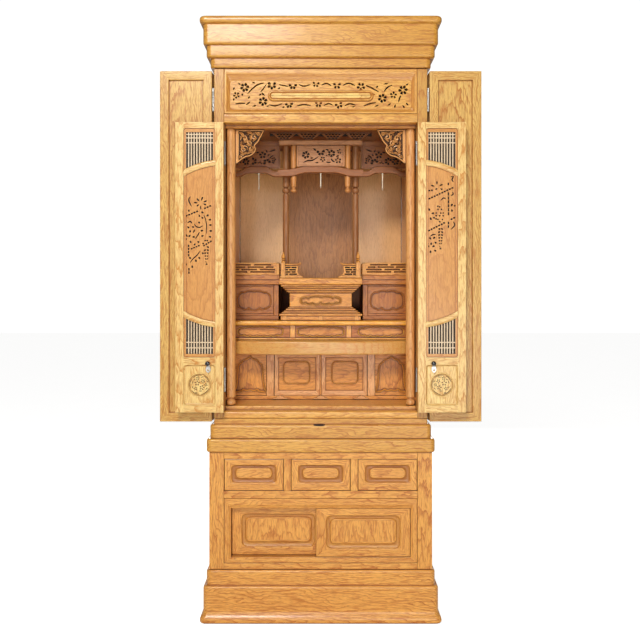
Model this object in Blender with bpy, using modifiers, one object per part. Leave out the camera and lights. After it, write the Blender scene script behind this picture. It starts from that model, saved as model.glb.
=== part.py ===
"""Household altar cabinet: a tall wooden case with folding outer doors, latticed inner doors, an altar hall, three drawers and two sliding doors.

Sizes are in millimetres and are turned into metres where a mesh is made.
X runs to the viewer's right and Z up. D is the depth behind the front face of the two front posts, which is the plane Y = YF.
The doors stand open, folded flat beside the case, with the inner pair in front of the outer pair.
"""
import math

import bmesh
import bpy
from mathutils import Matrix, Vector

MM = 0.001
YF = -0.215            # plane of the posts' front faces, so that the whole is centred on Y = 0
BACK = 480.0           # depth of the back plane
GAP = 0.3              # gap between touching pieces

CASE_HALF = 289.0      # half width of the upper case
POST_W = 27.0
POST_D = 30.0
INNER = CASE_HALF - POST_W
LOWER_O = 11.7         # how far the lower case stands out beyond the upper one
LOWER_HALF = CASE_HALF + LOWER_O
SIDE_T = 18.0
BACK_T = 8.0
CORNER_R = 14.0

Z_PLINTH = 139.0
Z_LOWER_TOP = 455.0
Z_WAIST = 491.7
Z_RAIL = 544.5
Z_SILL = 564.5
Z_FLOOR = 574.5
Z_LINTEL = 1346.0
Z_STOP = 1337.0
Z_TRANSOM = 1371.0
Z_CROWN = 1494.0
Z_TOP = 1627.0

DRAWER_Z = (351.0, 437.0)
DRAWER_X = ((-261.0, -100.0), (-80.5, 80.5), (100.0, 261.0))
SLIDE_X = 261.0
SLIDE_Z = (156.0, 331.0)
TRACK_OPEN_X = 243.0
TRACK_OPEN_Z = (170.0, 303.0)

OUTER_T = 24.0
OUTER_Z = (536.0, 1487.0)
OUTER_PIVOT = (291.7, 0.0)
OUTER_FOLD = (438.2, 25.5)
INNER_T = 18.0
INNER_Z = (566.0, 1341.0)
INNER_PIVOT = (260.0, 6.5)
INNER_FOLD = (388.65, -19.5)
MOON_Z = 1017.0
MOON_R = 225.0
MOON_R_IN = 210.0

TIER_Z = 805.0
DESK_Z = (712.5, 750.0)
BAY_D = 171.0

for old in list(bpy.data.objects):
    bpy.data.objects.remove(old, do_unlink=True)

PARTS = bpy.data.collections.new("altar_cabinet")
CUTTERS = bpy.data.collections.new("cutters")
bpy.context.scene.collection.children.link(PARTS)
bpy.context.scene.collection.children.link(CUTTERS)


def wood(name, colour, rough=0.42):
    mat = bpy.data.materials.new(name)
    mat.use_nodes = True
    shader = mat.node_tree.nodes["Principled BSDF"]
    shader.inputs["Base Color"].default_value = (*colour, 1.0)
    shader.inputs["Roughness"].default_value = rough
    shader.inputs["Metallic"].default_value = 0.0
    return mat


HONEY = (0.72, 0.42, 0.16)
DOOR = (0.78, 0.52, 0.22)
HALL = (0.50, 0.28, 0.12)
CARVED = (0.60, 0.32, 0.12)


# --- shapes ----------------------------------------------------------------

def finish(name, mesh, colour, origin=None, rough=0.42):
    """Names a mesh given in world metres, gives it its material and an origin, and puts it among the parts."""
    if origin is None:
        low = Vector([min(v.co[i] for v in mesh.vertices) for i in range(3)])
        high = Vector([max(v.co[i] for v in mesh.vertices) for i in range(3)])
        origin = (low + high) / 2
    else:
        origin = place(*origin)
    mesh.transform(Matrix.Translation(-origin))
    mesh.name = name
    mesh.materials.clear()
    mesh.materials.append(wood(name + "_wood", colour, rough))
    ob = bpy.data.objects.new(name, mesh)
    ob.location = origin
    PARTS.objects.link(ob)
    return ob


def place(x, d, z):
    return Vector((x * MM, YF + d * MM, z * MM))


def box_bm(bm, x0, x1, d0, d1, z0, z1):
    made = bmesh.ops.create_cube(bm, size=1.0)["verts"]
    bmesh.ops.scale(bm, verts=made, vec=((x1 - x0) * MM, (d1 - d0) * MM, (z1 - z0) * MM))
    bmesh.ops.translate(bm, verts=made, vec=place((x0 + x1) / 2, (d0 + d1) / 2, (z0 + z1) / 2))
    return made


def box_mesh(*spans):
    bm = bmesh.new()
    for span in spans:
        box_bm(bm, *span)
    mesh = bpy.data.meshes.new("box")
    bm.to_mesh(mesh)
    bm.free()
    return mesh


def board(name, x0, x1, d0, d1, z0, z1, colour=HONEY):
    return finish(name, box_mesh((x0, x1, d0, d1, z0, z1)), colour)


def outline_mesh(loops, axis, a, b):
    """A flat outline with thickness from a to b along an axis. Loops are (x, z) for Y, (x, d) for Z and (d, z) for X."""
    curve = bpy.data.curves.new("outline", "CURVE")
    curve.dimensions = "2D"
    curve.fill_mode = "BOTH"
    curve.extrude = abs(b - a) / 2 * MM
    for loop in loops:
        spline = curve.splines.new("POLY")
        spline.points.add(len(loop) - 1)
        for point, (u, v) in zip(spline.points, loop):
            point.co = (u * MM, v * MM, 0.0, 1.0)
        spline.use_cyclic_u = True
    ob = bpy.data.objects.new("outline", curve)
    CUTTERS.objects.link(ob)
    graph = bpy.context.evaluated_depsgraph_get()
    mesh = bpy.data.meshes.new_from_object(ob.evaluated_get(graph))
    bpy.data.objects.remove(ob, do_unlink=True)
    bpy.data.curves.remove(curve)
    mid = (a + b) / 2 * MM
    if axis == "Y":
        turn = Matrix.Translation((0, YF + mid, 0)) @ Matrix.Rotation(math.pi / 2, 4, "X")
    elif axis == "X":
        turn = Matrix.Translation((mid, YF, 0)) @ Matrix(((0, 0, 1, 0), (1, 0, 0, 0), (0, 1, 0, 0), (0, 0, 0, 1)))
    else:
        turn = Matrix.Translation((0, YF, mid))
    bm = bmesh.new()
    bm.from_mesh(mesh)
    bmesh.ops.transform(bm, matrix=turn, verts=bm.verts)
    bmesh.ops.remove_doubles(bm, verts=bm.verts, dist=1e-6)
    bmesh.ops.recalc_face_normals(bm, faces=bm.faces)
    bm.to_mesh(mesh)
    bm.free()
    return mesh


def plate(name, loops, d0, d1, colour=HONEY, origin=None):
    return finish(name, outline_mesh(loops, "Y", d0, d1), colour, origin)


def cutter(mesh, name="cutter"):
    ob = bpy.data.objects.new(name, mesh)
    CUTTERS.objects.link(ob)
    ob.hide_render = True
    ob.display_type = "WIRE"
    return ob


def boolean(ob, mesh, operation="DIFFERENCE"):
    mod = ob.modifiers.new(operation.lower(), "BOOLEAN")
    mod.operation = operation
    mod.solver = "EXACT"
    mod.object = cutter(mesh, ob.name + "_" + operation.lower())
    return mod


def stepped_block(name, levels, half, front, colour=HONEY, back=BACK, segs=3):
    """A block built up by extruding its plan, with rounded front corners and a square back. Levels are (z, overhang, corner radius) from the bottom up."""
    def plan(over, r):
        w, f = half + over, front - over
        points = [(-w, back)]
        for k in range(segs + 1):
            t = math.pi + math.pi / 2 * k / segs
            points.append((-w + r + r * math.cos(t), f + r + r * math.sin(t)))
        for k in range(segs + 1):
            t = 1.5 * math.pi + math.pi / 2 * k / segs
            points.append((w - r + r * math.cos(t), f + r + r * math.sin(t)))
        points.append((w, back))
        return points

    bm = bmesh.new()
    z, over, r = levels[0]
    ring = [bm.verts.new(place(x, d, z)) for x, d in plan(over, r)]
    face = bm.faces.new(ring)
    for z, over, r in levels[1:]:
        made = bmesh.ops.extrude_face_region(bm, geom=[face])["geom"]
        top = [g for g in made if isinstance(g, bmesh.types.BMFace)][0]
        upper = []
        for old in ring:
            upper.append(min(top.verts, key=lambda v: (v.co - old.co).length))
        for vert, (x, d) in zip(upper, plan(over, r)):
            vert.co = place(x, d, z)
        if not face.is_valid:
            face = None
        elif levels.index((z, over, r)) > 1:
            bm.faces.remove(face)
        face, ring = top, upper
    bmesh.ops.recalc_face_normals(bm, faces=bm.faces)
    mesh = bpy.data.meshes.new(name)
    bm.to_mesh(mesh)
    bm.free()
    return finish(name, mesh, colour)


def turned(name, profile, x, d, segs, colour=HONEY, z0=0.0, tilt=False, rough=0.42):
    """A turned piece. The profile is (radius, z) from the top of its axis, down its outer side, to the foot of its axis. A tilted piece points to the front."""
    mesh = bpy.data.meshes.new(name)
    bm = bmesh.new()
    verts = [bm.verts.new((max(r, 0.0) * MM, 0.0, z * MM)) for r, z in profile]
    for a, b in zip(verts, verts[1:]):
        bm.edges.new((a, b))
    bm.to_mesh(mesh)
    bm.free()
    mesh.materials.append(wood(name + "_finish", colour, rough))
    ob = bpy.data.objects.new(name, mesh)
    ob.location = place(x, d, z0)
    if tilt:
        ob.rotation_euler = (math.pi / 2, 0.0, 0.0)
    PARTS.objects.link(ob)
    mod = ob.modifiers.new("turn", "SCREW")
    mod.axis = "Z"
    mod.angle = 2 * math.pi
    mod.steps = segs
    mod.render_steps = segs
    mod.use_merge_vertices = True
    mod.merge_threshold = 0.00001
    mod.use_smooth_shade = True
    return ob


# --- outlines --------------------------------------------------------------

def rrect(x0, x1, z0, z1, r, n=4):
    points = []
    for cx, cz, start in ((x1 - r, z1 - r, 0.0), (x0 + r, z1 - r, 0.5), (x0 + r, z0 + r, 1.0), (x1 - r, z0 + r, 1.5)):
        for k in range(n + 1):
            t = (start + 0.5 * k / n) * math.pi
            points.append((cx + r * math.cos(t), cz + r * math.sin(t)))
    return points


def mirrored(loop):
    return [(-x, z) for x, z in reversed(loop)]


def cartouche(cx, cz, w, h, lobes=3, n=28):
    """A long oval panel outline with a scalloped lower edge and a softer upper one."""
    points = []
    for k in range(n):
        t = 2 * math.pi * k / n
        x = math.copysign(abs(math.cos(t)) ** 0.7, math.cos(t)) * w / 2
        z = math.copysign(abs(math.sin(t)) ** 0.55, math.sin(t)) * h / 2
        wave = abs(math.cos(lobes * math.pi * x / w))
        z *= (0.86 + 0.14 * wave) if z < 0 else (0.93 + 0.07 * wave)
        points.append((cx + x, cz + z))
    return points


def bell_window(cx, w, z0, z1):
    """Bell-shaped window: flared jambs, shouldered and pointed head, and a lobed sill."""
    h = z1 - z0
    right = [(0.0, 0.045), (0.14, 0.03), (0.24, 0.055), (0.30, 0.0), (0.50, 0.0), (0.455, 0.10), (0.42, 0.30), (0.405, 0.62), (0.39, 0.74),
             (0.33, 0.80), (0.27, 0.82), (0.235, 0.90), (0.16, 0.925), (0.09, 0.935), (0.045, 0.975), (0.0, 1.0)]
    pts = [(cx + u * w, z0 + v * h) for u, v in right]
    pts += [(cx - u * w, z0 + v * h) for u, v in reversed(right[1:-1])]
    return pts


def wave_beam(x0, x1, z_top_mid, z_top_end, z_bot_mid, z_bot_end, slant=6.0, n=10):
    """A curved tie beam: raised in the middle by a smooth step at each side."""
    def rise(t):
        u = min(1.0, max(0.0, (0.78 - abs(t)) / 0.46))
        return u * u * (3 - 2 * u)
    bow = 0.4
    points = []
    for k in range(2 * n + 1):
        t = -1 + k / n
        u = (t + 1) / 2
        points.append((x0 + slant + (x1 - x0 - 2 * slant) * u, z_bot_end + (z_bot_mid - z_bot_end) * rise(t) + bow * (1 - t * t)))
    for k in range(2 * n, -1, -1):
        t = -1 + k / n
        u = (t + 1) / 2
        points.append((x0 + (x1 - x0) * u, z_top_end + (z_top_mid - z_top_end) * rise(t) + bow * (1 - t * t)))
    return points


# --- lower case ------------------------------------------------------------

R = CORNER_R
plinth = stepped_block("plinth", [
    (0.0, 31.0, R), (2.0, 34.0, R), (6.0, 35.5, R), (13.0, 35.0, R), (18.0, 33.0, R), (24.0, 29.3, R), (34.0, 27.0, R),
    (93.0, 27.0, R), (97.0, 25.4, R), (98.5, 19.2, R), (134.0, 19.0, R), (137.6, 17.6, R), (139.0, 14.5, R)], CASE_HALF, 0.0)
boolean(plinth, box_mesh((-282.0, 282.0, 6.0, BACK - 20.0, -10.0, 150.0)))

board("lower_bottom", -LOWER_HALF + SIDE_T + GAP, LOWER_HALF - SIDE_T - GAP, 10.6, BACK - BACK_T - GAP, Z_PLINTH + GAP, SLIDE_Z[0])
board("lower_side_left", -LOWER_HALF, -LOWER_HALF + SIDE_T, 10.6, BACK, Z_PLINTH + GAP, Z_LOWER_TOP)
board("lower_side_right", LOWER_HALF - SIDE_T, LOWER_HALF, 10.6, BACK, Z_PLINTH + GAP, Z_LOWER_TOP)
board("lower_back", -LOWER_HALF + SIDE_T + GAP, LOWER_HALF - SIDE_T - GAP, BACK - BACK_T, BACK, Z_PLINTH + GAP, Z_LOWER_TOP)
board("lower_shelf", -LOWER_HALF + SIDE_T + GAP, LOWER_HALF - SIDE_T - GAP, 10.6, BACK - BACK_T - GAP, 341.0, DRAWER_Z[0])

holes = [[(x0, DRAWER_Z[0]), (x1, DRAWER_Z[0]), (x1, DRAWER_Z[1]), (x0, DRAWER_Z[1])] for x0, x1 in DRAWER_X]
holes.append([(-SLIDE_X, SLIDE_Z[0]), (SLIDE_X, SLIDE_Z[0]), (SLIDE_X, SLIDE_Z[1]), (-SLIDE_X, SLIDE_Z[1])])
edge = [(-LOWER_HALF, Z_PLINTH + GAP), (LOWER_HALF, Z_PLINTH + GAP), (LOWER_HALF, Z_LOWER_TOP), (-LOWER_HALF, Z_LOWER_TOP)]
plate("lower_face_frame", [edge] + holes, -LOWER_O, 10.3)

stepped_block("waist_board", [(455.3, 15.0, R), (457.5, 18.2, R), (461.0, 19.3, R), (486.0, 19.3, R), (489.5, 18.2, R), (Z_WAIST, 15.0, R)],
              CASE_HALF, 0.0)

frame = plate("sliding_frame", [
    [(-260.7, 156.3), (260.7, 156.3), (260.7, 330.7), (-260.7, 330.7)],
    [(-TRACK_OPEN_X, TRACK_OPEN_Z[0]), (TRACK_OPEN_X, TRACK_OPEN_Z[0]), (TRACK_OPEN_X, TRACK_OPEN_Z[1]), (-TRACK_OPEN_X, TRACK_OPEN_Z[1])]],
    -9.7, 38.0)
boolean(frame, box_mesh(*[(-TRACK_OPEN_X, TRACK_OPEN_X, d, d + 7.0, z0, z1)
                          for d in (0.8, 19.8) for z0, z1 in ((163.5, 175.0), (298.0, 311.5))]))


def sliding_door(name, x0, x1, front):
    t = 16.0
    zb, zt = TRACK_OPEN_Z[0] + 0.6, TRACK_OPEN_Z[1] - 0.6
    a, b = front + 5.0, front + 11.0
    section = [(front, zb), (a, zb), (a, zb - 6.3), (b, zb - 6.3), (b, zb + 0.1), (front + t, zb + 0.1),
               (front + t, zt - 0.1), (b, zt - 0.1), (b, zt + 7.1), (a, zt + 7.1), (a, zt), (front, zt)]
    ob = finish(name, outline_mesh([section], "X", x0, x1), HONEY)
    cx = (x0 + x1) / 2
    ring = [rrect(cx - 100.5, cx + 100.5, 193.0, 282.5, 9.0), rrect(cx - 86.5, cx + 86.5, 209.5, 271.0, 9.0)]
    boolean(ob, outline_mesh(ring, "Y", front - 5.0, front + 4.0))
    return ob


sliding_door("sliding_door_left", -242.6, 12.0, 15.3)
sliding_door("sliding_door_right", -12.0, 242.6, -3.7)


def drawer(name, x0, x1):
    cx = (x0 + x1) / 2
    ob = finish(name, box_mesh((x0 + 0.6, x1 - 0.6, -9.7, 8.0, DRAWER_Z[0] + 0.4, DRAWER_Z[1] - 0.6)), HONEY)
    boolean(ob, box_mesh((cx - 76.0, cx + 76.0, 5.0, 330.0, DRAWER_Z[0] + 0.4, 426.0)), "UNION")
    boolean(ob, box_mesh((cx - 67.0, cx + 67.0, 8.3, 321.0, DRAWER_Z[0] + 7.0, 440.0)))
    ring = [rrect(cx - 60.5, cx + 60.5, 373.0, 419.5, 8.6), rrect(cx - 47.8, cx + 47.8, 385.5, 411.5, 12.0)]
    boolean(ob, outline_mesh(ring, "Y", -15.0, -4.7))
    return ob


for side, span in zip(("left", "centre", "right"), DRAWER_X):
    drawer("drawer_" + side, *span)

# --- upper case ------------------------------------------------------------

stepped_block("upper_base", [(492.0, 10.3, R), (523.0, 10.3, R), (527.2, 9.0, R), (529.3, 5.5, R), (529.6, 0.0, 3.0), (Z_RAIL, 0.0, 3.0)],
              CASE_HALF, 0.0)
for side, s in (("left", -1), ("right", 1)):
    board("upper_post_" + side, *sorted((s * INNER, s * CASE_HALF)), 0.0, POST_D, Z_RAIL + GAP, Z_CROWN - GAP)
    board("upper_side_" + side, *sorted((s * INNER, s * CASE_HALF)), POST_D + GAP, BACK, Z_RAIL + GAP, Z_CROWN - GAP)
IN = INNER - GAP
board("upper_back", -IN, IN, BACK - BACK_T, BACK, Z_RAIL + GAP, Z_CROWN - GAP, HALL)
finish("hall_floor", outline_mesh([[
    (1.5, Z_RAIL + GAP), (BACK - BACK_T - GAP, Z_RAIL + GAP), (BACK - BACK_T - GAP, Z_FLOOR), (38.0, Z_FLOOR), (36.0, Z_FLOOR - 2.0), (36.0, Z_SILL),
    (4.0, Z_SILL), (0.8, Z_SILL - 2.5), (0.0, Z_SILL - 6.0), (0.0, Z_RAIL + 3.5)]], "X", -IN, IN), HONEY)
finish("lintel", outline_mesh([[
    (0.0, Z_LINTEL + 2.0), (1.5, Z_LINTEL), (34.0, Z_LINTEL), (34.0, Z_STOP), (64.0, Z_STOP), (64.0, Z_TRANSOM), (1.5, Z_TRANSOM), (0.0, Z_TRANSOM - 2.0)]],
    "X", -IN, IN), HONEY)
board("hall_ceiling", -IN, IN, 64.3, BACK - BACK_T - GAP, 1345.3, 1357.0, HALL)

ob = plate("transom", [[(-IN, Z_TRANSOM + GAP), (IN, Z_TRANSOM + GAP), (IN, Z_CROWN - GAP), (-IN, Z_CROWN - GAP)]], 0.5, 22.0)
boolean(ob, outline_mesh([rrect(-246.0, 246.0, 1383.5, 1462.0, 9.0), rrect(-143.0, 143.0, 1406.0, 1435.0, 13.5)], "Y", -5.0, 7.0))

crown = stepped_block("crown", [
    (Z_CROWN, 6.5, R), (1496.0, 9.0, R), (1499.0, 9.6, R), (1518.5, 9.6, R), (1519.5, 16.5, R), (1522.0, 18.8, R), (1525.0, 19.3, R),
    (1551.5, 19.3, R), (1552.5, 24.5, R), (1555.0, 26.7, R), (1558.0, 27.2, R), (1605.5, 27.2, R), (1607.5, 29.0, R), (1609.0, 33.0, R),
    (1612.0, 35.3, R), (1616.0, 36.0, R), (1622.0, 35.6, R), (1625.5, 34.0, R), (Z_TOP, 31.0, R)], CASE_HALF, 0.0)
boolean(crown, box_mesh((-264.0, 264.0, 12.0, BACK - 18.0, 1480.0, 1602.0)))

# --- altar hall ------------------------------------------------------------

COL_X, COL_D, COL_R = 248.5, 49.5, 13.0
for side, s in (("left", -1), ("right", 1)):
    turned("column_" + side, [
        (0, Z_STOP - GAP), (COL_R, Z_STOP - GAP), (COL_R, 598.0), (11.6, 596.5), (9.6, 595.0), (9.6, 592.5), (11.6, 591.0), (12.9, 587.0), (13.1, 582.5),
        (12.4, 578.0), (9.5, 575.5), (9.0, Z_FLOOR + GAP), (0, Z_FLOOR + GAP)], s * COL_X, COL_D, 16)

lobes = [(-235.1, 1243.0), (-232.0, 1243.0), (-220.0, 1252.0), (-207.0, 1259.5), (-196.0, 1262.0), (-187.0, 1268.0), (-181.5, 1273.0), (-178.0, 1283.0),
         (-181.0, 1293.0), (-172.0, 1302.0), (-166.0, 1313.0), (-160.0, 1325.0), (-155.0, 1336.7), (-235.1, 1336.7)]
plate("bracket_left", [lobes], 45.0, 55.0, CARVED)
plate("bracket_right", [mirrored(lobes)], 45.0, 55.0, CARVED)

HANG_X, HANG_D, HANG_R = 77.8, 150.0, 8.0
REAR_X, REAR_D, REAR_R = 101.0, 178.0, 10.0

teeth = [(148.0, 1345.0), (-148.0, 1345.0)]
for c in (-105.0, -35.0, 35.0, 105.0):
    teeth += [(c - 34.0, 1344.0), (c - 13.0, 1325.5), (c + 13.0, 1325.5), (c + 34.0, 1344.0)]
teeth = teeth[:2] + [(-148.0, 1344.0)] + teeth[2:] + [(148.0, 1344.0)]
plate("canopy_frieze", [teeth], 144.0, 156.0, CARVED)
board("canopy_beam", -119.5, 119.5, 136.0, 164.0, 1309.5, 1322.0, HALL)
plate("centre_transom", [[(-69.4, 1248.0), (69.4, 1248.0), (69.4, 1309.2), (-69.4, 1309.2)]], 146.0, 154.0, CARVED)
ob = plate("centre_beam", [wave_beam(-123.0, 123.0, 1247.0, 1239.0, 1229.0, 1218.5)], 138.0, 162.0, HALL)
ring = [[(s * HANG_X + (HANG_R + GAP + 0.2) * math.cos(k * math.pi / 6), HANG_D + (HANG_R + GAP + 0.2) * math.sin(k * math.pi / 6)) for k in range(12)]
        for s in (-1, 1)]
boolean(ob, outline_mesh(ring, "Z", 1200.0, 1260.0))
for side, s in (("left", -1), ("right", 1)):
    turned("hanging_post_" + side, [
        (0, 1309.2), (HANG_R, 1309.2), (HANG_R, 1191.0), (6.2, 1189.0), (5.4, 1186.5), (6.6, 1184.0), (8.6, 1181.5), (9.0, 1178.5), (7.4, 1175.5), (4.5, 1173.5),
        (0, 1172.8)], s * HANG_X, HANG_D, 12, HALL)
    turned("rear_post_" + side, [
        (0, 1345.0), (REAR_R, 1345.0), (REAR_R, 1193.0), (8.4, 1190.5), (9.8, 1188.5), (11.2, 1184.0), (11.2, 1181.0), (9.8, 1177.0), (8.2, 1174.5),
        (9.4, 1172.0), (9.4, 927.3), (0, 927.3)], s * REAR_X, REAR_D, 12, HALL)

side_shape = wave_beam(-256.0, -119.7, 1256.0, 1242.0, 1236.0, 1226.0, slant=0.0, n=8)
low = side_shape[:17]
plate("side_transom_left", [low + [(-119.7, 1330.0), (-256.0, 1330.0)]], 201.0, 215.0, CARVED)
plate("side_transom_right", [mirrored(low + [(-119.7, 1330.0), (-256.0, 1330.0)])], 201.0, 215.0, CARVED)

altar = stepped_block("altar", [
    (TIER_Z + GAP, -4.0, 2.0), (819.0, -4.0, 2.0), (819.3, 0.0, 2.0), (823.5, 0.0, 2.0), (826.0, -7.0, 2.0), (831.0, -18.0, 2.0), (834.0, -23.0, 2.0),
    (840.0, -24.5, 2.0), (842.5, -29.0, 2.0), (883.0, -29.0, 2.0), (885.5, -24.5, 2.0), (893.0, -23.5, 2.0), (897.0, -15.0, 2.0), (904.0, -5.0, 2.0),
    (908.0, -4.0, 2.0), (908.4, -2.0, 2.0), (911.5, 0.0, 2.0), (923.5, 0.0, 2.0), (927.0, -2.5, 2.0)], 119.0, 135.0, HONEY, back=330.0, segs=1)
boolean(altar, box_mesh((-78.0, 78.0, 178.0, 345.0, 815.0, 900.0)))

rail = [(-116.8, 927.3), (-50.5, 927.3), (-50.5, 931.0), (-56.0, 934.0), (-64.0, 938.0), (-68.0, 946.0), (-66.0, 956.0), (-58.0, 967.0), (-55.0, 973.0),
        (-64.0, 970.5), (-102.5, 970.5), (-102.5, 975.0), (-105.0, 980.0), (-103.3, 985.0), (-105.5, 992.0), (-107.5, 1003.5), (-109.5, 992.0),
        (-111.7, 985.0), (-110.0, 980.0), (-112.5, 975.0), (-112.5, 934.0), (-116.8, 933.0)]
plate("altar_rail_left", [rail], 140.0, 150.0, HONEY)
plate("altar_rail_right", [mirrored(rail)], 140.0, 150.0, HONEY)

for side, s in (("left", -1), ("right", 1)):
    def span(a, b):
        return sorted((s * a, s * b))
    ob = board("side_cabinet_" + side, *span(124.0, IN), 204.0, 440.0, TIER_Z + GAP, 937.0, HONEY)
    boolean(ob, box_mesh((*span(136.0, IN - 8.0), 216.0, 445.0, 818.0, 909.0)))
    boolean(ob, box_mesh((*span(122.0, IN - 0.1), 196.0, 206.0, 909.0, 936.9)), "UNION")
    boolean(ob, outline_mesh([cartouche(s * 196.0, 862.0, 94.0, 54.0, 3)], "Y", 200.0, 210.0))
    corner = [(s * 122.0, 197.0), (s * IN, 197.0), (s * IN, 205.0), (s * 130.0, 205.0), (s * 130.0, 320.0), (s * 122.0, 320.0)]
    finish("side_rail_" + side, outline_mesh([corner], "Z", 937.3, 973.0), HONEY)

ob = finish("tier", outline_mesh([[
    (128.0, DESK_Z[1] + GAP), (152.0, DESK_Z[1] + GAP), (152.0, 792.3), (BACK - BACK_T - GAP, 792.3), (BACK - BACK_T - GAP, TIER_Z), (120.0, TIER_Z),
    (117.0, 802.0), (117.0, 795.0), (119.5, 792.0), (140.0, 792.0), (140.0, 755.5), (128.0, 755.5)]], "X", -IN, IN), HONEY)
boolean(ob, outline_mesh([cartouche(c, 773.5, w, 25.0, 5, 32) for c, w in ((-173.0, 126.0), (0.0, 130.0), (173.0, 126.0))], "Y", 130.0, 144.0))

front = []
for k in range(15):
    u = -1 + 2 * k / 14
    front.append((IN * u, 60.0 + 36.0 * abs(u) ** 2.4))
finish("desk_board", outline_mesh([front + [(IN, 300.0), (-IN, 300.0)]], "Z", *DESK_Z), HONEY)

ob = board("lower_bay_front", -IN, IN, BAY_D, BAY_D + 22.0, Z_FLOOR + GAP, DESK_Z[0] - GAP, HONEY)
boolean(ob, outline_mesh([bell_window(s * 205.0, 84.0, 600.0, 696.0) for s in (-1, 1)], "Y", BAY_D - 5.0, BAY_D + 14.0))
boolean(ob, outline_mesh([rrect(*sorted((s * 14.0, s * 123.0)), 601.0, 697.0, 1.0, 1) for s in (-1, 1)], "Y", BAY_D - 5.0, BAY_D + 4.0))

# --- doors -----------------------------------------------------------------


def panelled(name, x0, x1, d0, d1, z0, z1, colour, origin, border=24.0, sink=6.0):
    """A leaf with a mitred frame and a sunk panel on both faces: each face is inset, then inset again with depth."""
    bm = bmesh.new()
    box_bm(bm, x0, x1, d0, d1, z0, z1)
    bm.faces.ensure_lookup_table()
    for face in [f for f in bm.faces if abs(f.normal.y) > 0.9]:
        bmesh.ops.inset_region(bm, faces=[face], thickness=border * MM, use_even_offset=True)
        bmesh.ops.inset_region(bm, faces=[face], thickness=0.4 * MM, depth=-sink * MM, use_even_offset=True)
    mesh = bpy.data.meshes.new(name)
    bm.to_mesh(mesh)
    bm.free()
    return finish(name, mesh, colour, origin)


def arc_field(s, xa, xb, zt, upper, n=5):
    """The latticed field of an inner leaf, closed by the outer edge of the round window's rim. x runs over the leaf as it stands open; the rim's centre line is the leaf's own."""
    points = []
    for k in range(n + 1):
        x = xa + (xb - xa) * k / n
        reach = closed_x(x, s)
        rise = math.sqrt(max(0.0, MOON_R ** 2 - reach ** 2))
        points.append((x, MOON_Z + rise if upper else MOON_Z - rise))
    return points + [(xb, zt), (xa, zt)]


def closed_x(x, s):
    """Distance from the cabinet's middle, once the doors are shut, of a point on the far inner leaf that stands at x when open."""
    fold_closed = -INNER_PIVOT[0] + (INNER_FOLD[0] - INNER_PIVOT[0])
    return abs(fold_closed + (abs(x) - INNER_FOLD[0]) * -1.0)


for side, s in (("left", -1), ("right", 1)):
    pivot = (s * OUTER_PIVOT[0], OUTER_PIVOT[1], sum(OUTER_Z) / 2)
    fold = (s * OUTER_FOLD[0], OUTER_FOLD[1], sum(OUTER_Z) / 2)
    near = panelled("outer_leaf_%s_near" % side, *sorted((s * 295.2, s * 436.2)), 1.0, 1.0 + OUTER_T, *OUTER_Z, DOOR, pivot)
    far = panelled("outer_leaf_%s_far" % side, *sorted((s * 294.0, s * 436.2)), 2.0 + OUTER_T, 2.0 + 2 * OUTER_T, *OUTER_Z, DOOR, fold)
    far.parent = near
    far.location = place(*fold) - place(*pivot)

    pivot = (s * INNER_PIVOT[0], INNER_PIVOT[1], sum(INNER_Z) / 2)
    fold = (s * INNER_FOLD[0], INNER_FOLD[1], sum(INNER_Z) / 2)
    near = finish("inner_leaf_%s_near" % side, box_mesh((*sorted((s * 262.0, s * 388.0)), -1.0 - INNER_T, -1.0, *INNER_Z)), DOOR, pivot)
    far = finish("inner_leaf_%s_far" % side, box_mesh((*sorted((s * 387.7, s * 260.05)), -2.0 - 2 * INNER_T, -2.0 - INNER_T, *INNER_Z)), DOOR, fold)
    xa, xb = s * 366.0, s * 281.0
    pockets = [arc_field(s, xa, xb, 1325.0, True), arc_field(s, xa, xb, 713.0, False), rrect(*sorted((xa, xb)), 585.0, 693.5, 8.0)]
    d = -2.0 - 2 * INNER_T
    boolean(far, outline_mesh(pockets, "Y", d - 5.0, d + 5.0))
    xa, xb = s * 369.0, s * 282.0
    pockets = [rrect(*sorted((xa, xb)), 585.0, 1325.0, 4.0, 1)]
    boolean(near, outline_mesh(pockets, "Y", -1.0 - INNER_T - 5.0, -1.0 - INNER_T + 4.0))
    far.parent = near
    far.location = place(*fold) - place(*pivot)

    knob = turned("knob_" + side, [(0, 12.0), (3.5, 11.6), (5.8, 10.2), (6.5, 8.0), (6.2, 5.6), (4.6, 3.6), (3.6, 2.4), (5.2, 1.2), (5.6, 0.3), (0, 0.3)],
                  s * 301.0, -2.0 - 2 * INNER_T, 12, (0.02, 0.02, 0.02), 697.0, True, 0.3)
    knob.parent = far
    knob.location = place(s * 301.0, -2.0 - 2 * INNER_T, 697.0) - place(*fold)
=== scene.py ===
"""Looks of the household altar cabinet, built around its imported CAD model.

Sizes are in millimetres: X to the viewer's right, Z up, and D the depth behind the front faces of the two front posts.
Every wooden piece carries its own grain coordinates, along, across and into its board, so that each member shows grain that runs its own way.
"""
import math
import random

import bmesh
import bpy
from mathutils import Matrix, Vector, geometry


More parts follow.
